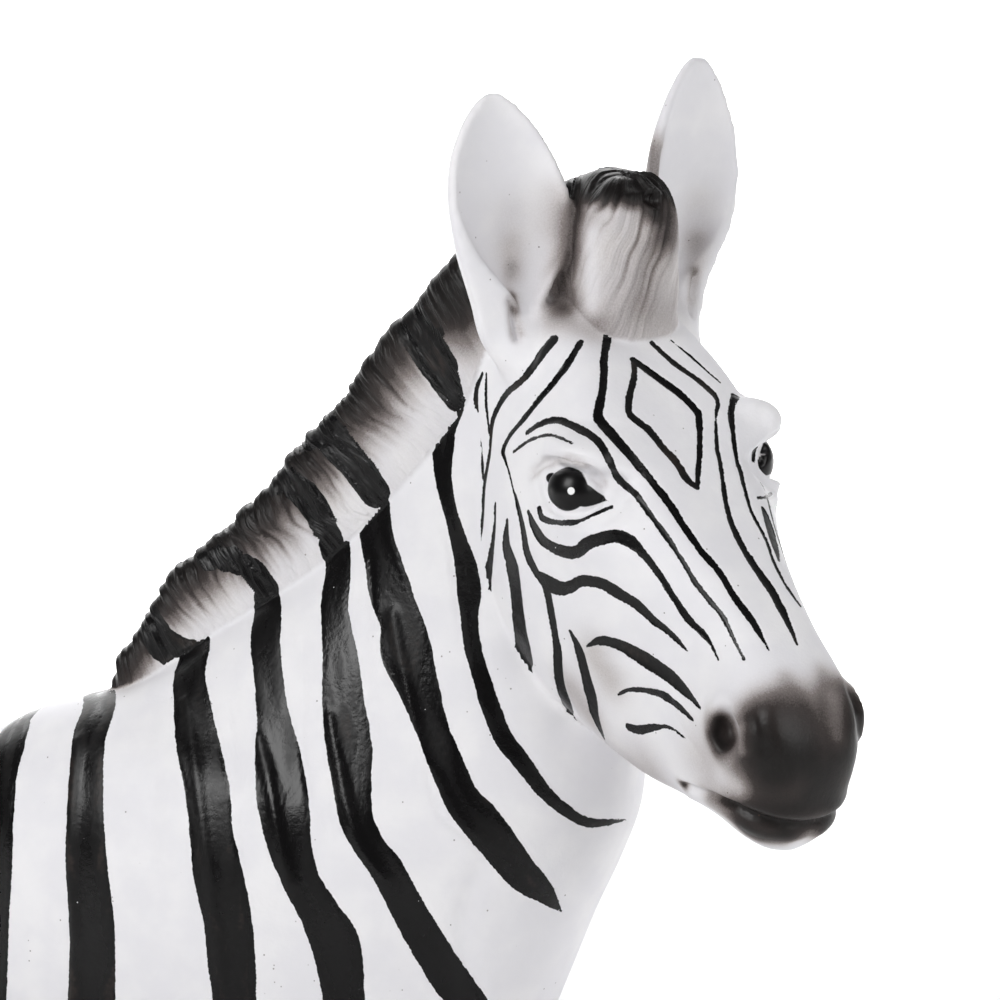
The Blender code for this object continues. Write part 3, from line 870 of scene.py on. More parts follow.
def mane_place(spots):
    """Run, rise, height, and distance from the mane's middle sheet for each point."""
    ups = np.array([s[1] for s in STATIONS])
    heights = np.array([s[3] for s in STATIONS])
    place = np.empty((len(spots), 4))
    for start in range(0, len(spots), LOT):
        away = spots[start:start + LOT, None] - ROOTS
        rise = (away * ups).sum(axis=2)
        held = np.clip(rise, -ROOT_DEPTH, heights)
        gap = np.linalg.norm(away - held[..., None] * ups, axis=2)
        k = gap.argmin(axis=1)
        row = np.arange(len(k))
        ahead = np.gradient(ROOTS, axis=0)[k]
        ahead /= np.linalg.norm(ahead, axis=1)[:, None]
        slide = (away[row, k] * ahead).sum(axis=1)
        slide -= rise[row, k] * (ups[k] * ahead).sum(axis=1)
        slide = np.clip(slide, -STATION_REACH, STATION_REACH)
        place[start:start + LOT] = np.stack(
            [RUNS[k] + slide, rise[row, k], heights[k], gap[row, k]], 1)
    return place


def mane_paint(skin, place):
    """The black bands over the mane, laid in its own run and rise."""
    flat = np.stack([place[:, 0], place[:, 1], np.zeros(len(place))], 1)
    coat = Coat(len(place))
    for stroke in MANE_STROKES:
        line, halves = laid_stroke(skin, stroke)
        laid = mane_place(line)
        coat.add(flat, np.stack([laid[:, 0], laid[:, 1], np.zeros(len(laid))], 1), halves)
    return coat


# Hair runs upright all round the forelock's blunt end
FORELOCK_STEP = 80
FORELOCK_REACH = 7.5


def hair_place(spots, run):
    """Place round the mane as its hair is counted, from one side over the end to the other."""
    axis, ahead = ROOTS[FORELOCK_STEP], (ROOTS[-1] - ROOTS[FORELOCK_STEP]) * (1, 1, 0)
    ahead /= np.linalg.norm(ahead)
    side = np.array([-ahead[1], ahead[0], 0])
    forward, left = (spots - axis) @ ahead, (spots - axis) @ side
    turned = np.arctan2(forward, -left) * FORELOCK_REACH
    half_way = RUNS[FORELOCK_STEP] + math.pi * FORELOCK_REACH
    behind = np.where(left < 0, run, half_way + RUNS[FORELOCK_STEP] - run)
    return np.where(forward > 0, RUNS[FORELOCK_STEP] + turned, behind)


# The skin, shaped and then cut finer where the mane's hair, the eyes and the
# strokes on the face need it

def refined(mesh, wanted):
    """The mesh with the edges between wanted points cut in two."""
    form = bmesh.new()
    form.from_mesh(mesh)
    form.verts.ensure_lookup_table()
    edges = [e for e in form.edges if wanted[e.verts[0].index] and wanted[e.verts[1].index]]
    bmesh.ops.subdivide_edges(form, edges=edges, cuts=1, use_grid_fill=True)
    form.to_mesh(mesh)
    form.free()
    mesh.update()


def shaped(mesh):
    """Points of the skin after softening and the carving of the face."""
    return from_head(shape_face(to_head(read_spots(mesh)), read_normals(mesh)))


LIDS_NEAR = 3.5
EYE_DEEP = 7
EDGE_NEAR = 0.6
EVEN_SHARE = 0.25
EVEN_ROUNDS = 2

skin_mesh = fused_skin()
write_spots(skin_mesh, from_head(soften(to_head(read_spots(skin_mesh)), read_edges(skin_mesh))))
bare = read_spots(skin_mesh)
shown = shaped(skin_mesh)
write_spots(skin_mesh, shown)
skin = Skin(skin_mesh)
write_spots(skin_mesh, bare)
kinds = form_distances(bare).argmin(axis=1)
wanted = kinds == MANE_FORM
in_head = to_head(shown)
for side in (1, -1):
    edge, _, _, depth, _ = eye_edge(in_head, side)
    wanted |= (edge < LIDS_NEAR) & (np.abs(depth) < EYE_DEEP)
wanted |= (kinds == HEAD_FORM) & (np.abs(face_paint(skin, shown).edge) < EDGE_NEAR)
refined(skin_mesh, wanted)
spots = shaped(skin_mesh)
spots = drawn_even(spots, read_edges(skin_mesh), np.full(len(spots), EVEN_SHARE), EVEN_ROUNDS)
write_spots(skin_mesh, spots)
distances = form_distances(spots)
kinds = distances.argmin(axis=1)


# Fine relief: hair lines and locks tooled in the mane, folds in the neck and face, and
# the strokes on the face sunk a little. The hair lines are drawn coarser than the real
# ones, about 1 mm apart, so that they still show in the render.

HAIR_SPACING = 1.4
HAIR_DEPTH = 0.45
LOCK_SPACING = 5.0
LOCK_DEPTH = 0.55
LOCK_SWAY = 0.12
LOCK_SWAY_RUN = 9
HAIR_WANDER = (4, 7)
MANE_LEDGE = 0.35
MANE_EDGE = 0.4
FORELOCK_SLANT = 0.4
FORELOCK_BLEND = 8
STROKE_SINK = 0.14
STROKE_WALL = (-0.25, 0.15)
NECK_EDGE = (0.1, 0.35)
NECK_BLEND = 2.0
HEAD_BLEND = 1.0
# Ridges and grooves on the neck, by height, half width and places as for strokes
FOLDS = (
    (0.45, 1.0, 258, 738, 268, 775, 275, 815, 281, 850, 290, 884),
    (0.45, 1.0, 330, 718, 338, 760, 346, 800, 360, 845, 385, 881),
    (0.45, 1.1, 393, 615, 400, 655, 410, 700, 424, 763),
    (0.35, 1.2, 78, 740, 72, 800, 70, 870, 76, 940, 74, 1000),
    (0.30, 1.0, 186, 700, 196, 770, 204, 840, 212, 900, 222, 980),
    (-0.35, 0.5, 426, 773, 439, 812, 456, 830, 472, 842, 485, 855),
    (-0.30, 0.4, 440, 525, 448, 545, 455, 580, 458, 612),
    (-0.25, 0.4, 228, 700, 232, 735, 240, 770, 236, 810, 240, 860),
    (-0.25, 0.4, 300, 640, 305, 690, 303, 740, 310, 790, 330, 840),
    (-0.25, 0.4, 370, 560, 372, 600, 372, 650, 376, 700, 380, 730),
    (-0.50, 2.2, 480, 870, 470, 900, 465, 940, 470, 999),
    (-0.50, 2.0, 165, 700, 160, 740, 150, 800, 150, 860),
)


# Folds of the face, which have twins, and the slits of the ears and the left brow
HEAD_FOLDS = (
    (-0.45, 1.1, 566, 640, 560, 662, 563, 690, 575, 715),
    (0.5, 1.6, 600, 660, 625, 662, 650, 676, 672, 696),
    (-0.35, 0.9, 668, 690, 676, 720, 690, 745, 700, 760),
    (-0.80, 0.6, 530, 474, 547, 462, 570, 459, 589, 468, 603, 484),
    (0.60, 1.3, 737, 712, 745, 730, 741, 752),
    (-0.50, 1.5, 757, 712, 762, 748),
    (-0.35, 0.5, 538, 505, 553, 516, 575, 518, 600, 506),
)
PLAIN_FOLDS = (
    (-0.7, 0.7, 512, 302, 514, 316, 517, 338),
    (-0.6, 0.7, 696, 280, 694, 296, 692, 312),
    (0.9, 2.2, 750, 408, 762, 411, 768, 415),
)
# The small pit in the forelock's top
DENT = (654, 199)
DENT_REACH = 1.7
DENT_DEPTH = 1.5
# The relief stays this far inside the solid's own outermost places, and fades out
# this high above the flat underside
SKIN_INSIDE = 0.02
FOOT_FADE = 2.0

mane = mane_place(spots)
run, rise, height, _ = mane.T
off_mane = distances[:, MANE_FORM] - distances[:, :MANE_FORM].min(axis=1)
on_mane = 1 - soft_step(off_mane, -MANE_EDGE, MANE_EDGE)
level = np.clip(rise / height, 0, 1)
round_mane = hair_place(spots, run)
forelock = soft_step(round_mane, RUNS[FORELOCK_STEP] - FORELOCK_BLEND, RUNS[FORELOCK_STEP])
bend = round_mane + LOCK_SWAY * rise * np.sin(round_mane / LOCK_SWAY_RUN) * (1 - forelock)
wander = value_noise(rise / HAIR_WANDER[0] + round_mane / HAIR_WANDER[1], 5)
bend += (1 - 0.7 * forelock) * wander
bend -= FORELOCK_SLANT * rise * forelock
hair = value_noise(bend / HAIR_SPACING * 2, 1) * (0.4 + 0.6 * level) * (1 - 0.4 * forelock)
lock = value_noise(bend / LOCK_SPACING * 2, 2) * level
relief = on_mane * (HAIR_DEPTH * hair + LOCK_DEPTH * lock + MANE_LEDGE * (1 - level))

coats = [neck_paint(skin, spots), face_paint(skin, spots), mane_paint(skin, mane)]
strokes = np.choose(kinds, [coat.edge for coat in coats])
marks = np.choose(kinds, [coat.marks for coat in coats])
off_neck = distances[:, HEAD_FORM:].min(axis=1) - distances[:, NECK_FORM]
on_neck = soft_step(off_neck, 0.0, NECK_BLEND)
on_head = soft_step(distances[:, NECK_FORM] - distances[:, HEAD_FORM], 0.0, HEAD_BLEND)
inside = 1 - soft_step(strokes, *STROKE_WALL)
relief -= on_neck * STROKE_SINK * bump(strokes, *NECK_EDGE)
relief -= on_head * STROKE_SINK * inside
for folds, on_form, twin in ((FOLDS, on_neck, twin_on_neck), (HEAD_FOLDS, on_head, twin_on_head),
                             (PLAIN_FOLDS, on_head, np.copy)):
    for rise_by, half, *path in folds:
        path = np.reshape(path, (-1, 2))
        line, halves = laid_stroke(skin, np.hstack([path, np.ones((len(path), 1))]).ravel())
        for places in (line, laid_again(skin, line, halves, twin)[0]):
            away = away_from_stroke(spots, places, np.zeros(len(places)))[0]
            relief += on_form * rise_by * bump(away, 0, half)
hit, _ = skin.under(*DENT)
relief -= DENT_DEPTH * (1 - soft_step(np.linalg.norm(spots - hit, axis=1) / DENT_REACH, 0.3, 1.1))
relief = relief * soft_step(spots[:, 2], 0.0, FOOT_FADE)
spots = spots + read_normals(skin_mesh) * relief[:, None]
least = np.array([low.x / UNIT + SKIN_INSIDE, low.y / UNIT + SKIN_INSIDE, -np.inf])
write_spots(skin_mesh, np.clip(spots, least, np.array(high) / UNIT - SKIN_INSIDE))


# Airbrush and painted shade: brown-black passes over the muzzle and a fringe of them along the mane,
# which are the casting's own airbrush, and painted shade down the ears' cups and in the hollows under
# the cheekbone and the jaw, in the lids' crease and in the mane's hair grooves

# Each pass: its reach in millimetres, its strength, and the places it runs through as
# the camera sees them, u and v in turn. A negative strength wipes shade away. Passes
# on the head, but not those on ears and forelock, have twins on its other side.
HEAD_PASSES = (
    (10.0, 0.22, 705, 760, 720, 788),
    (11.0, 0.96, 770, 772, 800, 758, 826, 776),
    (6.5, 0.90, 766, 748, 782, 770, 790, 745),
    (7.0, 0.92, 750, 808, 792, 810, 832, 796),
    (5.5, 0.88, 757, 724, 762, 746),
    (6.5, 0.60, 780, 718, 815, 718, 832, 742),
    (5.0, 0.24, 792, 696, 822, 692),
    (2.6, 0.20, 822, 672, 824, 700),
    (4.0, 0.30, 757, 704, 778, 698),
    (4.5, 0.90, 746, 830, 785, 834),
    (3.5, 0.55, 790, 834, 812, 826),
    (3.5, 0.40, 712, 796, 738, 812),
    (1.6, 0.90, 684, 784),
    (4.0, -0.55, 722, 778, 738, 788),
    (1.6, -0.45, 743, 728, 743, 750),
    (3.2, 0.97, 719, 722, 716, 734, 722, 746),
    (2.6, 0.70, 729, 728, 731, 742),
    # Painted shade: under the cheekbone, under the jaw and in the crease above the eye
    (6.5, 0.24, 595, 655, 610, 680),
    (6.5, 0.28, 572, 690, 590, 715),
    (9.0, 0.24, 545, 745, 600, 762, 650, 770),
    (1.5, 0.24, 532, 474, 547, 463, 570, 460, 589, 469, 603, 484),
)
NECK_PASSES = (
    (7.0, 0.35, 120, 668, 132, 650),
    (9.0, 0.95, 448, 290, 470, 285),
    (6.0, 0.75, 425, 310, 460, 310),
    (6.0, 0.30, 478, 330, 470, 345),
)
PLAIN_PASSES = (
    # Painted shade down both ears' cups and into their slits, over a little of the ears' own airbrush
    (7.0, 0.11, 512, 215, 512, 250),
    (4.0, 0.15, 511, 245, 512, 275),
    (2.4, 0.22, 512, 268, 513, 300),
    (1.7, 0.55, 513, 295, 515, 315, 517, 333),
    (5.0, 0.16, 556, 195, 552, 225),
    (6.0, 0.12, 698, 205, 697, 240),
    (3.5, 0.25, 697, 240, 695, 275),
    (1.8, 0.40, 695, 272, 692, 300),
    (4.5, 0.45, 653, 150, 656, 178),
    (5.0, 0.65, 576, 215, 571, 250, 564, 285, 562, 308),
    (5.0, 0.60, 668, 215, 666, 235),
    (3.5, 0.97, 652, 190, 655, 212),
    (6.0, 0.22, 650, 255, 640, 300),
    (5.5, 0.24, 558, 322, 592, 328),
    (6.0, 0.12, 600, 326, 660, 316, 690, 302),
    (4.0, -0.32, 834, 700, 838, 735),
    (2.8, -0.60, 592, 235, 592, 305),
)
PASS_SPREAD = 0.6
LIP_SHADE = 0.85
LIP_START = (84, 87)
LIP_EDGE = (0.4, 1.6)
# The forelock's dark top begins at this height and is full at the next
FORELOCK_BAND = (138.3, 141.4)
FORELOCK_SHADE = 0.15
# Strength of the painted shade in the hollows of the mane's hair lines
GROOVE_SHADE = 0.40
MANE_SHADE = 0.08
# The mane's fringe begins and is full at these shares of its height, and its rear end
# is dark over this run
FRINGE = (0.12, 0.92)
END_SHADE = 0.8
END_RUN = (2, 14)


def away_from_path(spots, path):
    found = np.full(len(spots), np.inf)
    for a, b in zip(path[:-1], path[1:]):
        share = np.clip((spots - a) @ (b - a) / max((b - a) @ (b - a), 1e-9), 0, 1)
        found = np.minimum(found, np.linalg.norm(spots - a - share[:, None] * (b - a), axis=1))
    return found


def sprayed(found, away, strength):
    """The shade after one more pass, or what is left of it after a wipe."""
    dab = bump(away, 0, PASS_SPREAD)
    return 1 - (1 - found) * (1 - strength * dab) if strength > 0 else found * (1 + strength * dab)


def washed(found, more):
    """Two shades, one over the other."""
    return 1 - (1 - found) * (1 - more)


in_head = to_head(spots)
away, seen = mouth_away(in_head)
lips = LIP_SHADE * seen * soft_step(in_head[:, 0], *LIP_START)
lips = lips * (1 - soft_step(np.abs(away), *LIP_EDGE))
airbrush_and_shade = np.where(kinds == HEAD_FORM, lips, 0)
fringe = soft_step(level + 0.06 * value_noise(bend * 1.6, 3), *FRINGE)
band = soft_step(spots[:, 2] + 0.5 * value_noise(bend * 1.2, 4), *FORELOCK_BAND)
edge_shade = fringe * (1 - forelock) + washed(band, FORELOCK_SHADE) * forelock
# Painted shade in the hollows between the mane's tooled hair lines
groove = GROOVE_SHADE * soft_step(-hair, 0.0, 0.7) * soft_step(level, 0.1, 0.6)
end_shade = END_SHADE * (1 - soft_step(run, *END_RUN)) * soft_step(rise, -ROOT_DEPTH, 3)
airbrush_and_shade = washed(airbrush_and_shade, on_mane * washed(washed(edge_shade, groove), washed(end_shade, MANE_SHADE)))
for passes, twin, touched in ((HEAD_PASSES, twin_on_head, kinds != NECK_FORM),
                              (NECK_PASSES, twin_on_neck, kinds != HEAD_FORM),
                              (PLAIN_PASSES, np.copy, kinds != NECK_FORM)):
    for reach, strength, *path in passes:
        hits = [skin.under(u, v)[0] for u, v in zip(path[::2], path[1::2])]
        hits = np.array([hit for hit in hits if hit is not None])
        hits = np.vstack([hits, hits[-1:]])
        gap = np.minimum(away_from_path(spots, hits), away_from_path(spots, twin(hits)))
        airbrush_and_shade = np.where(touched, sprayed(airbrush_and_shade, gap / reach, strength), airbrush_and_shade)


# Eye: glossy black paint on the eyeball, a round with a point drawn out to its front and a little
# more at its rear, and one dot of white on each, a painted highlight. Places are along and above the
# slit.
ROUND = (-0.5, 0.1)
ROUND_STRETCH = (0.95, 1.04)
ROUND_HALF = 3.55
POINT_HALF = 1.9
POINT_INSET = 0.1
POINT_SLANT = 0.1
POINT_TAPER = (2.6, 6.3)
POINT_ENDS = (2.0, 6.2)
REAR = (-4.5, 0.9)
REAR_STRETCH = 1.3
REAR_HALF = 1.2
GLINT = (571, 491)

eyes = np.full(len(spots), FAR)
for side in (1, -1):
    _, p, q, depth, _ = eye_edge(in_head, side)
    ball = np.hypot((p - ROUND[0]) * ROUND_STRETCH[0], (q - ROUND[1]) * ROUND_STRETCH[1]) - ROUND_HALF
    point = np.abs(q + POINT_SLANT * p) - POINT_HALF * (1 - soft_step(p, *POINT_TAPER)) + POINT_INSET
    point = np.maximum(point, np.maximum(p - POINT_ENDS[1], POINT_ENDS[0] - p))
    rear = np.hypot(p - REAR[0], (q - REAR[1]) * REAR_STRETCH) - REAR_HALF
    painted = np.minimum(np.minimum(ball, point), rear)
    eyes = np.minimum(eyes, np.where(np.abs(depth) < EYE_DEEP, painted, FAR))
# Painted highlight: a white dot on each eyeball, at the near eye's place and at its twin
glint = np.full(len(spots), FAR)
hit, _ = skin.under(*GLINT)
for place in (hit, twin_on_head(hit[None])[0]):
    glint = np.minimum(glint, np.linalg.norm(spots - place, axis=1))


# The casting is cut flat below, so that it stands on its own weight, and shown as three
# meshes that meet without a gap: neck and shoulder, head with ears, and mane

def cut_flat(mesh):
    """Takes off what is below the underside and closes the cut with one flat face."""
    form = bmesh.new()
    form.from_mesh(mesh)
    everything = [*form.verts, *form.edges, *form.faces]
    bmesh.ops.bisect_plane(form, geom=everything, plane_co=(0, 0, 0),
                           plane_no=(0, 0, 1), clear_inner=True)
    rim = [e for e in form.edges if e.is_boundary]
    for vert in {v for e in rim for v in e.verts}:
        vert.co.z = 0
    bmesh.ops.contextual_create(form, geom=rim)
    bmesh.ops.recalc_face_normals(form, faces=form.faces)
    form.to_mesh(mesh)
    form.free()
    mesh.update()


def add_field(mesh, name, values):
    field = mesh.attributes.new(name, "FLOAT", "POINT")
    field.data.foreach_set("value", np.asarray(values, np.float32))


FIELD_REACH = 3
for name, values in (("kind", kinds), ("airbrush_and_shade", airbrush_and_shade), ("marks", marks),
                     ("stroke", np.clip(strokes, -FIELD_REACH, FIELD_REACH)),
                     ("eye", np.clip(eyes, -FIELD_REACH, FIELD_REACH)),
                     ("glint", np.clip(glint, 0, FIELD_REACH)),
                     ("hair", bend), ("rise", rise), ("on_mane", on_mane)):
    add_field(skin_mesh, name, values)
cut_flat(skin_mesh)
flow = read_normals(skin_mesh)
kept = np.empty(len(skin_mesh.vertices), np.float32)
skin_mesh.attributes["kind"].data.foreach_get("value", kept)


def parted(name, number):
    """The part of the skin whose faces belong to one form, shaded as the whole is."""
    form = bmesh.new()
    form.from_mesh(skin_mesh)
    form.verts.ensure_lookup_table()
    carry = form.verts.layers.int.new("whole")
    for vert in form.verts:
        vert[carry] = vert.index
    other = [f for f in form.faces
             if round(float(np.median([kept[v.index] for v in f.verts]))) != number]
    bmesh.ops.delete(form, geom=other, context="FACES")
    mesh = bpy.data.meshes.new(name)
    whole = [vert[carry] for vert in form.verts]
    form.to_mesh(mesh)
    form.free()
    mesh.attributes.remove(mesh.attributes["whole"])
    mesh.polygons.foreach_set("use_smooth", np.ones(len(mesh.polygons), bool))
    mesh.normals_split_custom_set_from_vertices(flow[whole].tolist())
    piece = bpy.data.objects.new(name, mesh)
    bpy.context.scene.collection.objects.link(piece)
    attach(piece, "root")
    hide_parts("zebra_bust")
    return piece


pieces = [parted("neck_and_shoulder", NECK_FORM), parted("head_and_ears", HEAD_FORM),
          parted("mane", MANE_FORM)]


# Paint on cast resin: matt white sprayed over all, brown-black airbrush over it together with the
# painted shade in the hollows, which stays grainy where thin and turns satin where thick, and glossy
# black brushed by hand, which shows the brush's run in its shine and has ragged edges and pinholes

def linear(code):
    """A linear colour from a web colour such as #rrggbb."""
    shares = [int(code[k:k + 2], 16) / 255 for k in (1, 3, 5)]
    return (*[s / 12.92 if s <= 0.04045 else ((s + 0.055) / 1.055) ** 2.4 for s in shares], 1)


def add_node(tree, kind, links=None, **settings):
    """A node of that kind, with its settings, and its inputs set or linked."""
    node = tree.nodes.new(kind)
    for name, value in settings.items():
        setattr(node, name, value)
    for socket, value in (links or {}).items():
        if isinstance(value, bpy.types.NodeSocket):
            tree.links.new(value, node.inputs[socket])
        else:
            node.inputs[socket].default_value = value
    return node


def field(tree, name):
    """A value that the mesh carries at its points."""
    return add_node(tree, "ShaderNodeAttribute", attribute_name=name).outputs["Fac"]


def math_node(tree, operation, a, b=0.0, c=0.0):
    return add_node(tree, "ShaderNodeMath", {0: a, 1: b, 2: c}, operation=operation).outputs[0]


def step_node(tree, value, low, high):
    """0 at low and 1 at high, and smooth between."""
    return add_node(tree, "ShaderNodeMapRange",
                    {"Value": value, "From Min": low, "From Max": high},
                    interpolation_type="SMOOTHSTEP").outputs["Result"]


def mix_colour(tree, share, a, b, way="MIX"):
    return add_node(tree, "ShaderNodeMix", {0: share, 6: a, 7: b},
                    data_type="RGBA", blend_type=way).outputs[2]


def mix_value(tree, share, a, b):
    return add_node(tree, "ShaderNodeMix", {0: share, 2: a, 3: b}).outputs[0]


def noise(tree, where, size, detail=2.0, rough=0.5):
    """Noise whose bumps are about size millimetres."""
    return add_node(tree, "ShaderNodeTexNoise",
                    {"Vector": where, "Scale": 1 / (size * UNIT), "Detail": detail,
                     "Roughness": rough}).outputs["Fac"]


def specks(tree, where, spacing, channel, share, edge):
    """Round marks, one to a cell about spacing millimetres wide, in few of the cells."""
    cells = add_node(tree, "ShaderNodeTexVoronoi",
                     {"Vector": where, "Scale": 1 / (spacing * UNIT)}).outputs
    chance = add_node(tree, "ShaderNodeSeparateColor", {0: cells["Color"]}).outputs[channel]
    few = step_node(tree, chance, *share)
    return math_node(tree, "MULTIPLY", step_node(tree, cells["Distance"], *edge), few)


# Sizes in millimetres of what varies in the paint: bristle marks at a stroke's edge, the
# hand's wander, spray grain, mottling, streaks and the casting's skin
BRISTLE = 0.55
WANDER = 2.6
GRAIN = 0.28
MOTTLE = 9.0
STREAK = 0.9
CASTING_SKIN = 1.1
BUMP_HEIGHT = 0.25
# Roughness of sprayed white, thick airbrush, wet and dry black, and the eye's varnish
MATT, SATIN, WET_BLACK, DRY_BLACK, EYE_GLOSS = 0.62, 0.36, 0.20, 0.42, 0.28
SPECULAR = 0.26


def painted_resin():
    material = bpy.data.materials.new("painted_resin")
    material.use_nodes = True
    tree = material.node_tree
    shader = tree.nodes["Principled BSDF"]
    where = add_node(tree, "ShaderNodeTexCoord").outputs["Object"]

    # Ragged brush edges and pinholes in the black strokes
    ragged = math_node(tree, "SUBTRACT", noise(tree, where, BRISTLE, 3), 0.5)
    wander = math_node(tree, "SUBTRACT", noise(tree, where, WANDER, 2), 0.5)
    edge = math_node(tree, "MULTIPLY_ADD", ragged, 0.35, field(tree, "stroke"))
    edge = math_node(tree, "MULTIPLY_ADD", wander, 0.45, edge)
    black = step_node(tree, edge, 0.05, -0.05)
    hole = specks(tree, where, 2.2, 0, (0.86, 0.90), (0.055, 0.035))
    black = math_node(tree, "MULTIPLY", black, math_node(tree, "SUBTRACT", 1.0, hole))

    # Airbrush and painted shade, grained like spray
    grain = math_node(tree, "SUBTRACT", noise(tree, where, GRAIN, 2, 0.7), 0.5)
    airbrush_and_shade = field(tree, "airbrush_and_shade")
    share = math_node(tree, "MULTIPLY_ADD", math_node(
        tree, "MULTIPLY", grain, math_node(tree, "SUBTRACT", 1.0, airbrush_and_shade)), airbrush_and_shade, airbrush_and_shade)
    spray = add_node(tree, "ShaderNodeValToRGB", {"Fac": share})
    stops = spray.color_ramp.elements
    stops[0].position, stops[0].color = 0.0, linear("#f1f0f2")
    stops[1].position, stops[1].color = 1.0, linear("#141110")
    for place, code in ((0.25, "#c9c4c3"), (0.5, "#837b78"), (0.75, "#3a3331")):
        stops.new(place).color = linear(code)

    # White paint: faint mottling and tiny brown specks of stone powder
    mottle = noise(tree, where, MOTTLE, 3)
    tint = mix_colour(tree, step_node(tree, mottle, 0.35, 0.7), linear("#f8f8fa"), linear("#ffffff"))
    white = mix_colour(tree, 1.0, spray.outputs["Color"], tint, "MULTIPLY")
    dot = specks(tree, where, 1.9, 1, (0.80, 0.84), (0.10, 0.05))
    white = mix_colour(tree, math_node(tree, "MULTIPLY", dot, 0.65), white, linear("#4d3a30"))

    # Black thins to brown where the brush ran dry
    marks = math_node(tree, "MULTIPLY_ADD", noise(tree, where, STREAK, 3), 0.8, field(tree, "marks"))
    thin = step_node(tree, marks, 0.85, 1.5)
    coat = mix_colour(tree, thin, linear("#0b0a0b"), linear("#2a2320"))
    colour = mix_colour(tree, black, white, coat)
    eye = step_node(tree, field(tree, "eye"), 0.15, -0.05)
    colour = mix_colour(tree, eye, colour, linear("#080708"))
    # Painted highlight: the white dot on each eye
    glint = step_node(tree, field(tree, "glint"), 0.66, 0.54)
    colour = mix_colour(tree, math_node(tree, "MULTIPLY", glint, eye), colour, linear("#f4f4f4"))
    tree.links.new(colour, shader.inputs["Base Color"])

    rough = mix_value(tree, step_node(tree, airbrush_and_shade, 0.55, 1.0), MATT, SATIN)
    brushed = mix_value(tree, step_node(tree, marks, -0.2, 1.2), WET_BLACK, DRY_BLACK)
    rough = mix_value(tree, black, rough, brushed)
    rough = mix_value(tree, eye, rough, EYE_GLOSS)
    tree.links.new(rough, shader.inputs["Roughness"])
    shader.inputs["Specular IOR Level"].default_value = SPECULAR

    # Relief: the casting's skin, brush marks in the black, and fine hair in the mane
    skin_bumps = math_node(tree, "MULTIPLY", noise(tree, where, CASTING_SKIN, 4, 0.6), 0.5)
    strands = add_node(tree, "ShaderNodeCombineXYZ", {
        0: math_node(tree, "MULTIPLY", field(tree, "hair"), 2.2),
        1: math_node(tree, "MULTIPLY", field(tree, "rise"), 0.12)})
    fine_hair = add_node(tree, "ShaderNodeTexNoise", {
        "Vector": strands.outputs[0], "Scale": 1.0, "Detail": 3.0}).outputs["Fac"]
    fine_hair = math_node(tree, "MULTIPLY", fine_hair, math_node(
        tree, "MULTIPLY", field(tree, "on_mane"), 2.4))
    streaks = math_node(tree, "MULTIPLY", math_node(tree, "MULTIPLY", marks, black), 0.30)
    height = math_node(tree, "ADD", math_node(tree, "ADD", skin_bumps, fine_hair), streaks)
    calm = math_node(tree, "SUBTRACT", 1.0, eye)
    bump = add_node(tree, "ShaderNodeBump", {
        "Height": math_node(tree, "MULTIPLY", height, calm), "Strength": 0.5,
        "Distance": BUMP_HEIGHT * UNIT})
    tree.links.new(bump.outputs["Normal"], shader.inputs["Normal"])
    return material


paint = painted_resin()
for piece in pieces:
    piece.data.materials.clear()
    piece.data.materials.append(paint)


# Studio: a sweep of matt white paper, a large soft light on each side and a weak one
# above, and two lights that keep the backdrop and the floor near it white

PAPER_FRONT = 2400
PAPER_BACK = 1500
PAPER_CURVE = 500
PAPER_TOP = 3600
PAPER_HALF_WIDTH = 3600


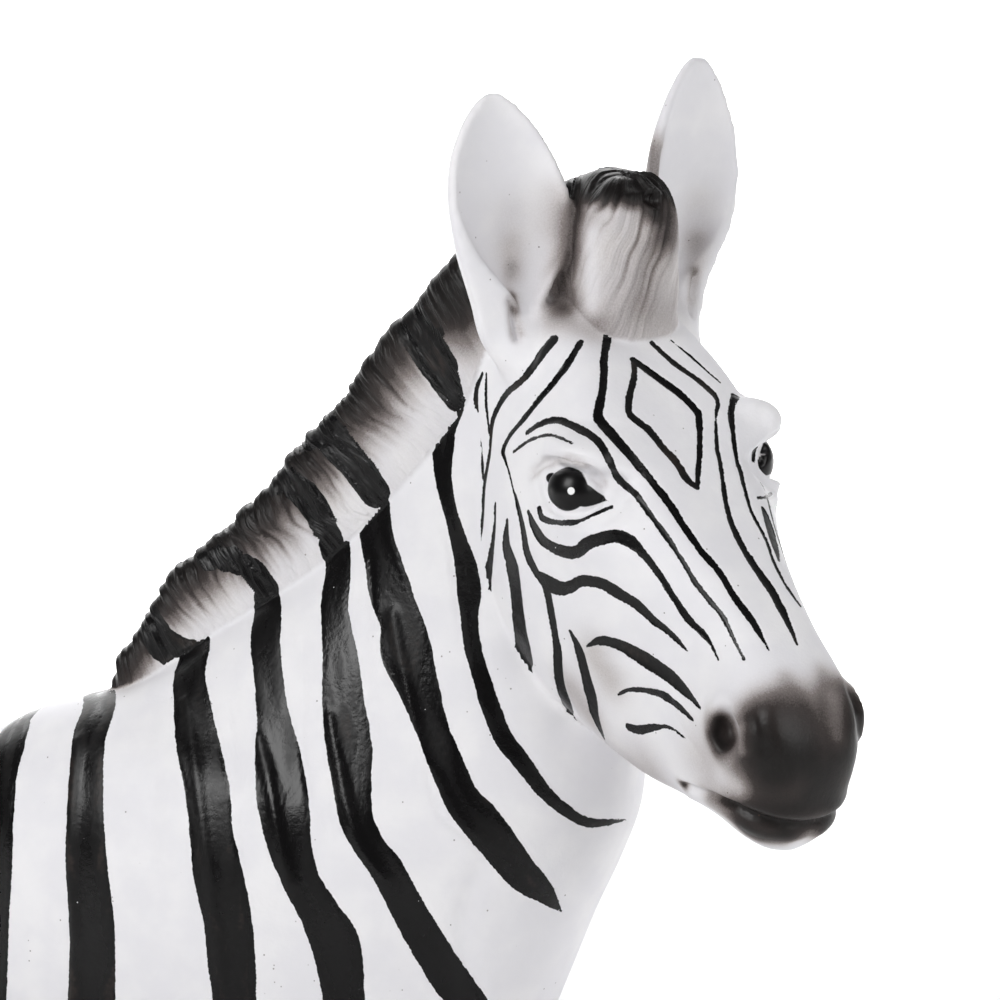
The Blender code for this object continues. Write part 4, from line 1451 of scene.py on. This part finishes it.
def sweep():
    """A pale floor that curves up into a backdrop behind the bust."""
    profile = [(-PAPER_FRONT, 0), (PAPER_BACK, 0)]
    profile += [(PAPER_BACK + PAPER_CURVE * math.sin(a), PAPER_CURVE * (1 - math.cos(a)))
                for a in np.linspace(0, math.pi / 2, 12)[1:]]
    profile.append((PAPER_BACK + PAPER_CURVE, PAPER_TOP))
    away = -BACK * (1, 1, 0)
    away /= np.linalg.norm(away)
    corners, faces = [], []
    for along, up in profile:
        for across in (-PAPER_HALF_WIDTH, PAPER_HALF_WIDTH):
            corners.append((RIGHT * across + away * along + np.array([0, 0, up])) * UNIT)
    for k in range(len(profile) - 1):
        faces.append((2 * k, 2 * k + 1, 2 * k + 3, 2 * k + 2))
    mesh = bpy.data.meshes.new("studio_floor")
    mesh.from_pydata([tuple(c) for c in corners], [], faces)
    mesh.polygons.foreach_set("use_smooth", np.ones(len(mesh.polygons), bool))
    floor = bpy.data.objects.new("studio_floor", mesh)
    bpy.context.scene.collection.objects.link(floor)
    material = bpy.data.materials.new("studio_paper")
    material.use_nodes = True
    shader = material.node_tree.nodes["Principled BSDF"]
    shader.inputs["Base Color"].default_value = linear("#fafafa")
    shader.inputs["Roughness"].default_value = 0.9
    mesh.materials.append(material)


def add_light(name, place, aim, size, power):
    """A soft light, placed from the aim to the right, up and toward the camera."""
    data = bpy.data.lights.new(name, "AREA")
    data.shape = "RECTANGLE"
    data.size, data.size_y = size[0] * UNIT, size[1] * UNIT
    data.energy = power
    light = bpy.data.objects.new(name, data)
    place = (AIM + RIGHT * place[0] + UP * place[1] + BACK * place[2]) * UNIT
    light.location = place
    away = Vector(place) - Vector(np.array(aim) * UNIT)
    light.rotation_euler = away.to_track_quat("Z", "Y").to_euler()
    bpy.context.scene.collection.objects.link(light)


ON_BACKDROP = AIM - BACK * 1900 - UP * 60
ON_FLOOR = AIM - BACK * 800 - UP * 800
# Each light: its place, what it is turned to, its size in millimetres and its power
LIGHTS = {
    "key_softbox": ((-500, 330, 560), AIM, (360, 360), 3.7),
    "fill_softbox": ((550, 200, 570), AIM, (420, 420), 2.1),
    "top_softbox": ((0, 700, -60), AIM, (600, 500), 0.3),
    "paper_light": ((0, 900, -700), ON_BACKDROP, (2200, 900), 50.0),
    "floor_light": ((0, 800, -800), ON_FLOOR, (2000, 700), 11.0),
}

sweep()
for name, settings in LIGHTS.items():
    add_light(name, *settings)

world = bpy.data.worlds.new("studio_air")
world.use_nodes = True
AIR_STRENGTH = 0.12
air = world.node_tree.nodes["Background"]
air.inputs["Color"].default_value = linear("#ffffff")
air.inputs["Strength"].default_value = AIR_STRENGTH
bpy.context.scene.world = world
bpy.context.scene.view_settings.view_transform = "Standard"
